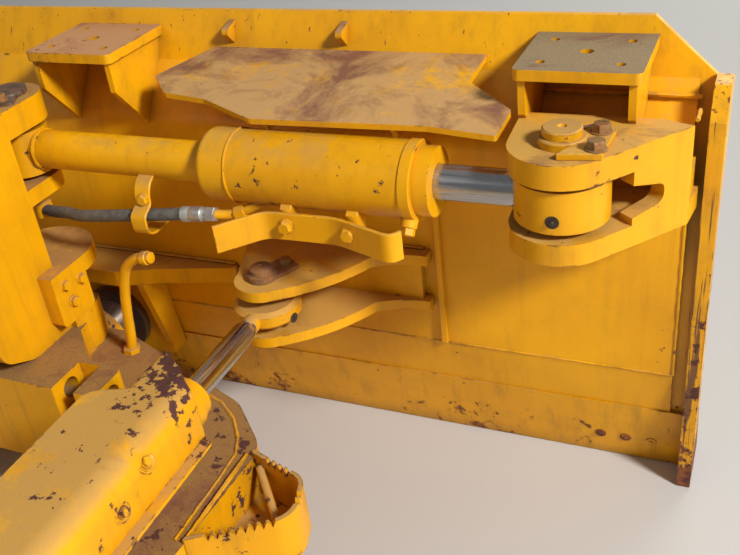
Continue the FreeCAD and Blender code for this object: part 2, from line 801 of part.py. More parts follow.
def cross_member():
    """Front of the C-frame: a deep box with rounded lobes, a nose and the ball's socket."""
    solid = plan(FRAME_HALF, FRAME_BOTTOM, FRAME_TOP)
    inner = [
        (90, -330, 20),
        (572, -420, 40),
        (652, -510, 40),
        (648, -680, 60),
        (ARM_OUT - 30, -850, 60),
        (ARM_OUT - 30, -900, 0),
        (ARM_IN + 30, -900, 0),
        (ARM_IN + 25, -745, 60),
        (450, -600, 60),
        (366, FRAME_REAR_Y + 30, 40),
        (90, FRAME_REAR_Y + 30, 20),
    ]
    hollow = plan(inner, FRAME_BOTTOM - 1, FRAME_TOP - FRAME_PLATE)
    solid = solid.cut(hollow)
    hump_half = [
        (0, -232, 0),
        (96, -232, 40),
        (110, -300, 20),
        (215, -403, 60),
        (310, -403, 20),
        (310, FRAME_REAR_Y, 40),
        (0, FRAME_REAR_Y, 0),
    ]
    hump = plan(hump_half, FRAME_TOP - 1, HUMP_TOP)
    slot_in, slot_out = LIFT_X - LIFT_GAP / 2, LIFT_X + LIFT_GAP / 2
    slot = box(slot_in, slot_out, FRAME_REAR_Y - 1, LIFT_SLOT_Y, FRAME_TOP, HUMP_TOP + 1)
    lift_bore = rod(LIFT_BORE, (-1, LIFT_Y, LIFT_Z), (320, LIFT_Y, LIFT_Z))
    hump = hump.cut(slot).cut(lift_bore)
    column = rod(NOSE_R, (0, NOSE_Y, NOSE_LOW), (0, NOSE_Y, NOSE_TOP))
    column = column.cut(box(-200, 200, -600, TOWER_FRONT_Y + SEAT, 0, 600))
    whole = fuse([solid, mirror(solid), hump, mirror(hump), column])
    face_y = AXIS_Y + CAP_BACK
    whole = whole.cut(box(-250, 250, face_y, 0, 0, 600))
    nose = rod(SOCKET_R, (0, AXIS_Y - 55, BALL_Z), (0, face_y, BALL_Z))
    whole = fuse([whole, nose])
    return whole.cut(socket_hole(200))


def socket_cap():
    """Bolted ring that keeps the ball in its socket."""
    face_y = AXIS_Y + CAP_BACK
    whole = rod(SOCKET_R - 4, (0, face_y, BALL_Z), (0, face_y + CAP_T, BALL_Z))
    return whole.cut(socket_hole(200))


def push_arm():
    """Right arm from the cross member up to its pivot boss, a closed box."""
    y0 = FRAME_JOINT_Y - SEAT
    corners = [
        (y0, FRAME_TOP, 0),
        (y0, FRAME_BOTTOM, 0),
        (y0 - 250, FRAME_BOTTOM, 200),
        (PIVOT_Y + 40, PIVOT_Z - ARM_H / 2, 100),
        (PIVOT_Y - 20, PIVOT_Z - ARM_H / 2 + 20, 30),
        (PIVOT_Y - 20, PIVOT_Z + ARM_H / 2 - 10, 30),
        (PIVOT_Y + 60, PIVOT_Z + ARM_H / 2, 100),
        (y0 - 300, FRAME_TOP + 10, 300),
    ]
    arm = side(corners, ARM_IN, ARM_OUT)
    boss = rod(PIVOT_R, (PIVOT_IN, PIVOT_Y, PIVOT_Z), (PIVOT_OUT, PIVOT_Y, PIVOT_Z))
    bore = rod(PIVOT_BORE, (PIVOT_IN - 5, PIVOT_Y, PIVOT_Z), (PIVOT_OUT + 5, PIVOT_Y, PIVOT_Z))
    ears = []
    for sign in (-1, 1):
        z1 = ANGLE_Z + sign * (BASE_GAP + BASE_EAR / 2)
        ears.append(rod(BASE_NOSE, (ANGLE_X, ANGLE_BASE_Y, z1 - BASE_EAR / 2), (ANGLE_X, ANGLE_BASE_Y, z1 + BASE_EAR / 2)))
        ears.append(box(ARM_IN, ARM_OUT, ANGLE_BASE_Y - 150, ANGLE_BASE_Y, z1 - BASE_EAR / 2, z1 + BASE_EAR / 2))
    stem = box(ARM_IN, ARM_OUT, ANGLE_BASE_Y - 150, ANGLE_BASE_Y - 110, FRAME_TOP - 60, ANGLE_Z + BASE_GAP + BASE_EAR)
    whole = fuse([arm, boss, stem] + ears)
    hole = rod(BASE_PIN + RUN, (ANGLE_X, ANGLE_BASE_Y, ANGLE_Z - BASE_GAP - BASE_EAR - 1), (ANGLE_X, ANGLE_BASE_Y, 800))
    return whole.cut(bore).cut(hole)


def base_pin():
    """Angle cylinder's base pin with the ball that the base eye swivels on."""
    x, y = ANGLE_X, ANGLE_BASE_Y
    top = ANGLE_Z + BASE_GAP + BASE_EAR
    shaft = pin(x, y, ANGLE_Z - BASE_GAP - BASE_EAR + 4, top, BASE_PIN, BASE_PIN + 8, 12, -90)
    ball = Part.makeSphere(ANGLE_BASE_BALL, vec(x, y, ANGLE_Z))
    ball = ball.common(box(x - 60, x + 60, y - 60, y + 60, ANGLE_Z - 34, ANGLE_Z + 34))
    return fuse([shaft, ball])


def tower():
    """Centre tower: two side plates folded to the back, eared at the top for the tilt cylinder."""
    ears = []
    half_gap = TILT_BASE_H / 2 + TOWER_GAP
    top = TILT_Z + half_gap + TOWER_TOP_EAR
    low = TILT_Z - half_gap - TOWER_LOW_EAR
    for z0, z1, nose in ((TILT_Z + half_gap, top, TOWER_NOSE), (low, TILT_Z - half_gap, TOWER_LOW_NOSE)):
        corners = [
            (-nose, AXIS_Y, 0),
            (nose, AXIS_Y, 0),
            (nose, TOWER_FRONT_Y, 0),
            (TOWER_HALF, TOWER_FRONT_Y, 0),
            (TOWER_HALF, TOWER_TOP_REAR_Y - 40, 20),
            (-TOWER_HALF, TOWER_TOP_REAR_Y - 40, 20),
            (-TOWER_HALF, TOWER_FRONT_Y, 0),
            (-nose, TOWER_FRONT_Y, 0),
        ]
        plate = plan(corners, z0, z1)
        ears.append(plate.fuse(rod(nose, (0, AXIS_Y, z0), (0, AXIS_Y, z1))))
    sole = HUMP_TOP + SEAT
    rear = TOWER_TOP_REAR_Y - 40
    profile = [
        (TOWER_FRONT_Y, top - 1, 0),
        (TOWER_FRONT_Y, sole, 0),
        (TOWER_SOLE_Y, sole, 90),
        (TOWER_HEEL_Y, TOWER_HEEL_Z, 50),
        (rear - 20, top - 60, 60),
        (rear, top - 1, 0),
    ]
    inside = [
        (TOWER_FRONT_Y + 5, top + 5, 0),
        (TOWER_FRONT_Y + 5, sole - 5, 0),
        (TOWER_SOLE_Y + 20, sole - 5, 0),
        (TOWER_HEEL_Y + 34, TOWER_HEEL_Z + 12, 20),
        (rear + 6, top - 60, 30),
        (rear + 26, top + 5, 0),
    ]
    wall = TOWER_HALF - TOWER_SIDE
    shell = side(profile, -TOWER_HALF, TOWER_HALF).cut(side(inside, -wall, wall))
    low_z = WEAR_Z - SADDLE_PLATE
    saddle = rod(SADDLE_R, (0, SADDLE_Y, low_z), (0, SADDLE_Y, WEAR_Z))
    saddle = saddle.fuse(box(-SADDLE_R, SADDLE_R, SADDLE_REAR_Y, SADDLE_Y, low_z, WEAR_Z))
    blocks = []
    for sign in (-1, 1):
        inner, outer = sign * (TOWER_HALF - 1), sign * BLOCK_OUT
        profile = [
            (SADDLE_REAR_Y, low_z + 1, 0),
            (SADDLE_REAR_Y, BLOCK_LOW, 12),
            (BLOCK_FRONT_Y, BLOCK_LOW, 12),
            (BLOCK_FRONT_Y, low_z + 1, 0),
        ]
        blocks.append(side(profile, min(inner, outer), max(inner, outer)))
    whole = fuse(ears + blocks + [shell, saddle])
    bore = rod(TOWER_PIN + RUN, (0, AXIS_Y, low - 1), (0, AXIS_Y, top + 1))
    return whole.cut(bore)


def tower_pin():
    half_gap = TILT_BASE_H / 2 + TOWER_GAP
    top = TILT_Z + half_gap + TOWER_TOP_EAR
    low = TILT_Z - half_gap - TOWER_LOW_EAR - 8
    return pin(0, AXIS_Y, low, top, TOWER_PIN, 46, 12, -60)


def tilt_bearing():
    """Spherical ring on the tower's pin, that the tilt cylinder's base eye rocks on."""
    ball = Part.makeSphere(TILT_BALL, vec(0, AXIS_Y, TILT_Z))
    ball = ball.common(box(-80, 80, AXIS_Y - 80, AXIS_Y + 80, TILT_Z - TILT_BALL_HALF, TILT_Z + TILT_BALL_HALF))
    return ball.cut(rod(TOWER_PIN + RUN, (0, AXIS_Y, TILT_Z - 50), (0, AXIS_Y, TILT_Z + 50)))


def tilt_barrel():
    """Tilt cylinder: base eye, long extension tube and the fat barrel, in one weldment."""
    eye_half = TILT_BASE_H / 2
    eye = rod(TILT_BASE_EYE, (0, AXIS_Y, TILT_Z - eye_half), (0, AXIS_Y, TILT_Z + eye_half))
    tube = rod(TILT_TUBE, (40, AXIS_Y, TILT_Z), (TILT_TUBE_END + 20, AXIS_Y, TILT_Z))
    seat = Part.makeSphere(TILT_BALL + RUN, vec(0, AXIS_Y, TILT_Z))
    throat = rod(TOWER_PIN + TILT_THROAT, (0, AXIS_Y, TILT_Z - eye_half - 1), (0, AXIS_Y, TILT_Z + eye_half + 1))
    barrel = rod(TILT_BARREL, (TILT_TUBE_END, AXIS_Y, TILT_Z), (TILT_BARREL_END, AXIS_Y, TILT_Z))
    barrel = barrel.makeFillet(16, [e for e in barrel.Edges if abs(e.BoundBox.XMax - TILT_TUBE_END) < 0.1 and e.BoundBox.XLength < 0.1])
    bore = rod(TILT_BORE, (TILT_TUBE_END + 40, AXIS_Y, TILT_Z), (TILT_BARREL_END + 1, AXIS_Y, TILT_Z))
    whole = fuse([eye, tube, barrel])
    return cut(whole, [bore, seat, throat])


def tilt_gland():
    x0 = TILT_BARREL_END + SEAT
    return ring(TILT_GLAND, TILT_ROD + RUN, (x0, AXIS_Y, TILT_Z), (x0 + TILT_GLAND_L, AXIS_Y, TILT_Z))


def tilt_rod():
    """Chrome rod with its piston end in the barrel and the forged eye on the blade's pin."""
    eye_half = TILT_EYE_H / 2
    x = TILT_PIN_X
    eye = rod(TILT_EYE, (x, AXIS_Y, TILT_Z - eye_half), (x, AXIS_Y, TILT_Z + eye_half))
    shaft = rod(TILT_ROD, (TILT_PISTON_X, AXIS_Y, TILT_Z), (x - TILT_EYE + 30, AXIS_Y, TILT_Z))
    bore = rod(TILT_PIN + TILT_EYE_PLAY, (x, AXIS_Y, 700), (x, AXIS_Y, 1000))
    return fuse([shaft, eye]).cut(bore)


def tilt_guard():
    """Bent plate hung under the barrel that keeps rocks off the tubes."""
    x0, x1 = GUARD_X
    r = TILT_BARREL
    profile = [
        (AXIS_Y - r * 0.75, TILT_Z - r * 0.75, 0),
        (AXIS_Y - r - 34, TILT_Z - r - 20, 20),
        (AXIS_Y - r - 34, TILT_Z - r - 58, 0),
        (AXIS_Y - r - 26, TILT_Z - r - 58, 0),
        (AXIS_Y - r - 26, TILT_Z - r - 16, 12),
        (AXIS_Y - r * 0.75 + 8, TILT_Z - r * 0.75 - 6, 0),
    ]
    plate = side(profile, x0, x1)
    plate = plate.cut(rod(r + SEAT, (0, AXIS_Y, TILT_Z), (1500, AXIS_Y, TILT_Z)))
    lugs = []
    for x in GUARD_LUGS:
        lug = box(x - 12, x + 12, AXIS_Y - r - 16, AXIS_Y - r * 0.4, TILT_Z - r - 16, TILT_Z - r * 0.5)
        lugs.append(lug.cut(rod(r + SEAT, (0, AXIS_Y, TILT_Z), (1500, AXIS_Y, TILT_Z))))
    return fuse([plate] + lugs)


def cover_bolt(radius, inner, outer, y, turn):
    """Round bar that stands square to the barrel, turned up from level by some degrees."""
    turn = math.radians(turn)
    ends = [(ANGLE_X + r * math.cos(turn), y, ANGLE_Z + r * math.sin(turn)) for r in (inner, outer)]
    return rod(radius, *ends)


def angle_barrel():
    """Right angle cylinder's barrel, with the base eye that swivels on the pin's ball."""
    x, y0 = ANGLE_X, ANGLE_BASE_Y
    barrel = rod(ANGLE_BARREL, (x, y0 + 90, ANGLE_Z), (x, BARREL_FRONT_Y, ANGLE_Z))
    eye = rod(ANGLE_BASE_EYE, (x, y0, ANGLE_Z - 36), (x, y0, ANGLE_Z + 36))
    neck = rod(ANGLE_NECK, (x, y0 + 30, ANGLE_Z), (x, y0 + 95, ANGLE_Z))
    whole = fuse([barrel, eye, neck])
    whole = whole.cut(Part.makeSphere(ANGLE_BASE_BALL + RUN, vec(x, y0, ANGLE_Z)))
    whole = whole.cut(rod(BASE_PIN + 8, (x, y0, ANGLE_Z - 40), (x, y0, ANGLE_Z + 40)))
    whole = whole.cut(rod(ANGLE_BORE, (x, y0 + 130, ANGLE_Z), (x, BARREL_FRONT_Y + 1, ANGLE_Z)))
    bosses = fuse([cover_bolt(14, ANGLE_BARREL - 6, reach, y, turn) for y, turn, reach in COVER_BOLTS])
    right = x + COVER_SIDE - COVER_T - SEAT
    top = ANGLE_Z + COVER_TOP - COVER_T - SEAT
    room = [(x, ANGLE_Z - 10, 0), (right, ANGLE_Z - 10, 0), (right, top, COVER_BEND - COVER_T), (x, top, 0)]
    bosses = bosses.common(front(room, -900, -700))
    return fuse([whole, bosses])


def angle_gland():
    x = ANGLE_X
    y0 = BARREL_FRONT_Y + SEAT
    return ring(ANGLE_GLAND, ANGLE_ROD + RUN, (x, y0, ANGLE_Z), (x, y0 + ANGLE_GLAND_L, ANGLE_Z))


def angle_cover():
    """Formed plate cover bolted over the barrel, its nose cut back on a slant."""
    x = ANGLE_X
    left, right = x - COVER_SIDE, x + COVER_SIDE
    top, low = ANGLE_Z + COVER_TOP, ANGLE_Z - COVER_LOW
    outer = [
        (left, low, 0),
        (left, top, 24),
        (right, top, COVER_BEND),
        (right, low, 0),
        (right + COVER_LEAN, low, 0),
        (right + COVER_LEAN, low - COVER_T, 0),
        (right - COVER_T, low - COVER_T, 0),
        (right - COVER_T, top - COVER_T, COVER_BEND - COVER_T),
        (left + COVER_T, top - COVER_T, 24 - COVER_T),
        (left + COVER_T, low, 0),
    ]
    cover = front(outer, COVER_END_Y, COVER_NOSE_Y)
    wing = plan(
        [
            (COVER_WING_X, COVER_END_Y, 0),
            (COVER_WING_X, COVER_WING_Y, 40),
            (left + 30, COVER_WING_Y + 34, 0),
            (left + 30, COVER_END_Y, 0),
        ],
        top - COVER_T,
        top,
    )
    fold = box(
        COVER_WING_X, COVER_WING_X + COVER_T, COVER_END_Y, COVER_WING_Y - 24, top - COVER_WING_H, top - 1
    )
    beyond = right + COVER_LEAN + 5
    slant = plan(
        [
            (left - 5, COVER_NOSE_Y + 1, 0),
            (left + 22, COVER_NOSE_Y - 6, 0),
            (x + 4, COVER_NOSE_Y - 45, 0),
            (x + 40, COVER_NOSE_Y - 78, 0),
            (beyond, COVER_NOSE_Y - 112, 0),
            (beyond, COVER_NOSE_Y + 60, 0),
            (left - 5, COVER_NOSE_Y + 60, 0),
        ],
        low - 40,
        top + 40,
    )
    cover = fuse([cover, wing, fold]).cut(slant)
    holes = [cover_bolt(9, ANGLE_BARREL, reach + 30, y, turn) for y, turn, reach in COVER_BOLTS]
    return cut(cover, holes)


def angle_rod():
    """Right angle cylinder's rod and eye, with the eye's bearing and pin core in it."""
    x, y, z = ANGLE_X, ANGLE_PIN_Y, ANGLE_Z
    half = ANGLE_EYE_H / 2
    neck_y = y - ANGLE_EYE - ANGLE_EYE_NECK_L
    cone_y = neck_y - ANGLE_EYE_CONE_L
    shaft = rod(ANGLE_ROD, (x, ANGLE_PISTON_Y, z), (x, cone_y, z))
    cone = Part.makeCone(ANGLE_ROD, ANGLE_EYE_NECK, ANGLE_EYE_CONE_L, vec(x, cone_y, z), vec(0, 1, 0))
    neck = rod(ANGLE_EYE_NECK, (x, neck_y, z), (x, y, z))
    rim = ANGLE_EYE_RIM / 2
    flat = ANGLE_EYE - (half - rim)
    profile = [(0, -half), (flat, -half), (ANGLE_EYE, -rim), (ANGLE_EYE, rim), (flat, half), (0, half)]
    loop = [vec(r, 0, h) for r, h in profile + profile[:1]]
    edges = [Part.LineSegment(a, b).toShape() for a, b in zip(loop, loop[1:])]
    eye = Part.Face(Part.Wire(edges)).revolve(vec(0, 0, 0), vec(0, 0, 1), 360)
    eye.translate(vec(x, y, z))
    return fuse([shaft, cone, neck, eye])


def step():
    """Right step: a bent band with teeth along its top edge, braced by a round bar."""
    z1 = STEP_TOP
    z0 = z1 - STEP_H
    turns = [STEP_REAR, STEP_TOE, STEP_KNEE, STEP_FRONT]
    loop = [(*turn, radius) for turn, radius in zip(turns, (0, 60, 50, 0))]
    loop += [(STEP_FRONT[0] - 60, STEP_FRONT[1], 0), (STEP_REAR[0] - 60, STEP_REAR[1], 0)]
    outer = Part.Face(rounded([(x, y, r) for x, y, r in loop]))
    inner = outer.makeOffset2D(-STEP_BAND)
    band = outer.extrude(vec(0, 0, STEP_H)).cut(inner.extrude(vec(0, 0, STEP_H)))
    band.translate(vec(0, 0, z0))
    teeth = []
    for start, end in zip(turns, turns[1:]):
        first, last = vec(*start, 0), vec(*end, 0)
        along = (last - first).normalize()
        across = vec(-along.y, along.x, 0)
        half = along * STEP_PITCH * 0.42
        count = int(((last - first).Length - 70) / STEP_PITCH)
        for i in range(count):
            here = first + along * (44 + STEP_PITCH * i) - across * 30
            tooth = [here - half + vec(0, 0, z1 + 1), here + vec(0, 0, z1 - STEP_TOOTH), here + half + vec(0, 0, z1 + 1)]
            edges = [Part.LineSegment(tooth[k], tooth[(k + 1) % 3]).toShape() for k in range(3)]
            teeth.append(Part.Face(Part.Wire(edges)).extrude(across * 60))
    bar = rod(STEP_BAR_R, (*STEP_BAR[0], z1 - 30), (*STEP_BAR[1], z1 - 74))
    foot = rod(STEP_BAR_R, (*STEP_BAR[1], z1 - 74), (STEP_BAR[1][0] + 14, STEP_BAR[1][1] - 16, z0 + 4))
    tread = plan([(680, -742, 0), (866, -652, 0), (838, -552, 0), (680, -508, 0)], z0, z0 + 8)
    whole = fuse([cut(band, teeth), tread, bar, foot])
    clear = plan(FRAME_HALF, FRAME_BOTTOM - 10, FRAME_TOP + 40)
    return whole.cut(clear)


def blade_ribs():
    """Two upright ribs on the back plate, one each side."""
    corners = [(-14, SEAM_Z + 4, 6), (-14, RIB_TOP, 0), (-SEAT, RIB_TOP, 0), (-SEAT, SEAM_Z, 0)]
    rib = side(corners, RIB_X, RIB_X + 12)
    return Part.makeCompound([rib, mirror(rib)])


os.makedirs("parts", exist_ok=True)

write("mouldboard", mouldboard())
write("back_panel", back_panel())
write("cutting_edge", edge_plate(0, BACK_HALF))
write("end_bits", end_bits())
write("top_lugs", top_lugs())
write("rock_shield", rock_shield())
write("tilt_bracket", tilt_bracket())
write("tilt_pin", tilt_pin())
write("centre_bracket", centre_bracket())
write("ball_stud", ball_stud())
write("blade_ribs", blade_ribs())
for name, x in (("left", -PAD_END_X), ("centre", PAD_MID_X), ("right", PAD_END_X)):
    write("mast_pad_" + name, mast_pad(x).cut(bracket_room()))

write("cross_member", cross_member())
write("socket_cap", socket_cap())
write("tower", tower())
write("tower_pin", tower_pin())
write("ball_liner", ball_liner())
write("tilt_bearing", tilt_bearing())
write("tilt_barrel", tilt_barrel())
write("tilt_gland", tilt_gland())
write("tilt_guard", tilt_guard())
write("tilt_rod", tilt_rod())

# What the machine has on both sides is made on the right and mirrored.
PAIRS = {
    "end_plate": end_plate,
    "angle_bracket": angle_bracket,
    "angle_pin": angle_pin,
    "push_arm": push_arm,
    "base_pin": base_pin,
    "step": step,
    "angle_barrel": angle_barrel,
    "angle_gland": angle_gland,
    "angle_cover": angle_cover,
    "angle_rod": angle_rod,
}
for name, make in PAIRS.items():
    shape = make()
    write(name + "_right", shape)
    write(name + "_left", mirror(shape))
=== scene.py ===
import math

import bmesh
import bpy
from mathutils import Matrix, Vector, noise


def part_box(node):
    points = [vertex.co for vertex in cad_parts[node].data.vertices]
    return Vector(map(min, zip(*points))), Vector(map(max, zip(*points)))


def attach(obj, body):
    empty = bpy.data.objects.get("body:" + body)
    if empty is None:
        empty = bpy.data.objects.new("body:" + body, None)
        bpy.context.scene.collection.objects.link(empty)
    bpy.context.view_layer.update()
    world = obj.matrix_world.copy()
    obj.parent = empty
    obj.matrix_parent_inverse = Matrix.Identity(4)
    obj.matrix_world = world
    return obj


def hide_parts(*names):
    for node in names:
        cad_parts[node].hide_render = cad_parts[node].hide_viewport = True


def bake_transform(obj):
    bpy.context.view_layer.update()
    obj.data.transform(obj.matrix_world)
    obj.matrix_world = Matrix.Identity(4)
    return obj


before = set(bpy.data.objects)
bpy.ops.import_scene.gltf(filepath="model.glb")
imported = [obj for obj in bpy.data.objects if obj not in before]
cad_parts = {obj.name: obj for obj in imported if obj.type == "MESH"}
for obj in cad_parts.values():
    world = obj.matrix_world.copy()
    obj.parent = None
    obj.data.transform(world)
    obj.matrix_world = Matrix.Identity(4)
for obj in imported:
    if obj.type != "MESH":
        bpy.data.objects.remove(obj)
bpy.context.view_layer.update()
scene = bpy.context.scene
scene.view_settings.view_transform = "Standard"

# Camera, as the photograph was taken: from behind the right arm of the C-frame, looking down
# at the back of the blade. Its place and turn were fitted to the photograph's outlines.
LENS_MM = 45.12
CAMERA_PLACE = (1.622, 0.281, 1.215)
CAMERA_RIGHT = (0.9190, 0.3798, -0.1057)
CAMERA_UP = (-0.1187, 0.5222, 0.8446)
CAMERA_BACK = (0.3760, -0.7636, 0.5249)

camera = bpy.data.cameras.new("camera")
camera.lens = LENS_MM
camera.sensor_width = 36.0
camera.clip_start = 0.02
camera_holder = bpy.data.objects.new("camera", camera)
scene.collection.objects.link(camera_holder)
camera_turn = Matrix((CAMERA_RIGHT, CAMERA_UP, CAMERA_BACK)).transposed().to_4x4()
camera_holder.matrix_world = Matrix.Translation(CAMERA_PLACE) @ camera_turn
scene.camera = camera_holder

# Studio: a pale matt floor under the blade's foot, one lamp from the right and the rear, at the
# height of the photograph's light, two wide soft lamps at the other sides, and a pale sky.
FLOOR_Z = -0.442
FLOOR_HALF = 30.0
FLOOR_MIDDLE_Y = 2.0
LAMP_DISTANCE = 8.5
KEY_TOWARDS = Vector((0.80, -0.31, 0.62))
KEY_SIZE = 1.35
KEY_WATTS = 790.0
FILL_TOWARDS = Vector((-0.6, -0.75, 0.7))
SOFT_SIZE = 5.5
FILL_WATTS = 34.0
FRONT_TOWARDS = Vector((0.35, 1.0, 0.55))
FRONT_WATTS = 260.0
SKY_STRENGTH = 0.20
BLADE_MIDDLE = Vector((0.5, 1.85, 0.1))


def linear(colour):
    """An sRGB hex colour as the linear values that a shader takes."""
    shares = [int(colour[i:i + 2], 16) / 255 for i in (1, 3, 5)]
    return [s / 12.92 if s <= 0.04045 else ((s + 0.055) / 1.055) ** 2.4 for s in shares] + [1.0]


def node(tree, kind, settings=None, links=None):
    """Adds one shader node, with sockets and properties set by name and links made to its sockets."""
    made = tree.nodes.new("ShaderNode" + kind)
    for key, value in (settings or {}).items():
        if isinstance(key, int) or key in made.inputs:
            made.inputs[key].default_value = value
        else:
            setattr(made, key, value)
    for key, source in (links or {}).items():
        tree.links.new(source, made.inputs[key])
    return made


def blank_material(name):
    """A new material with an empty tree and a Principled shader on its output."""
    material = bpy.data.materials.new(name)
    material.use_nodes = True
    tree = material.node_tree
    tree.nodes.clear()
    shader = node(tree, "BsdfPrincipled")
    node(tree, "OutputMaterial", None, {"Surface": shader.outputs[0]})
    return material, tree, shader


def lamp(name, towards, size, watts):
    """A round lamp that stands off the blade and faces it."""
    light = bpy.data.lights.new(name, "AREA")
    light.shape = "DISK"
    light.size = size
    light.energy = watts
    holder = bpy.data.objects.new(name, light)
    scene.collection.objects.link(holder)
    holder.location = BLADE_MIDDLE + towards.normalized() * LAMP_DISTANCE
    holder.rotation_euler = towards.to_track_quat("Z", "Y").to_euler()


lamp("key_lamp", KEY_TOWARDS, KEY_SIZE, KEY_WATTS)
lamp("fill_lamp", FILL_TOWARDS, SOFT_SIZE, FILL_WATTS)
lamp("front_lamp", FRONT_TOWARDS, SOFT_SIZE, FRONT_WATTS)

sky = bpy.data.worlds.new("studio_sky")
sky.use_nodes = True
sky.node_tree.nodes.clear()
sky_light = node(sky.node_tree, "Background", {"Color": linear("#F2F3F5"), "Strength": SKY_STRENGTH})
node(sky.node_tree, "OutputWorld", None, {"Surface": sky_light.outputs[0]})
scene.world = sky

floor_mesh = bpy.data.meshes.new("floor")
floor_corners = [
    (x * FLOOR_HALF, y * FLOOR_HALF + FLOOR_MIDDLE_Y, FLOOR_Z)
    for x, y in ((-1, -1), (1, -1), (1, 1), (-1, 1))
]
floor_mesh.from_pydata(floor_corners, [], [(0, 1, 2, 3)])
floor = bpy.data.objects.new("floor", floor_mesh)
scene.collection.objects.link(floor)
# Unglazed paper: it scatters light evenly, so it takes the shadow and shows no highlight.
paper, _, paper_shader = blank_material("matt_studio_paper")
paper_shader.inputs["Base Color"].default_value = linear("#C6C3BD")
paper_shader.inputs["Roughness"].default_value = 0.9
floor.data.materials.append(paper)

# Blade: a rolled mouldboard with a plate welded over its back, end plates, edges and ribs, all
# mild steel in one coat of construction yellow that sun, soil and rain have worn. The beads of
# the welds show through the paint, and plough bolts come through the edge's right and left ends.
YELLOW = "#FAB404"
YELLOW_DEEP = "#E69F05"
SOIL_DARK = "#7A6246"
SOIL = "#B98F50"
RUST = "#5C3122"
RUST_BRIGHT = "#9C5D35"
PRIMER = "#3C2226"
CHROME = "#BEC0C3"
FRAME_PIVOT_Y = -2000.0
FRAME_PIVOT_Z = 440.0
MM = 0.001


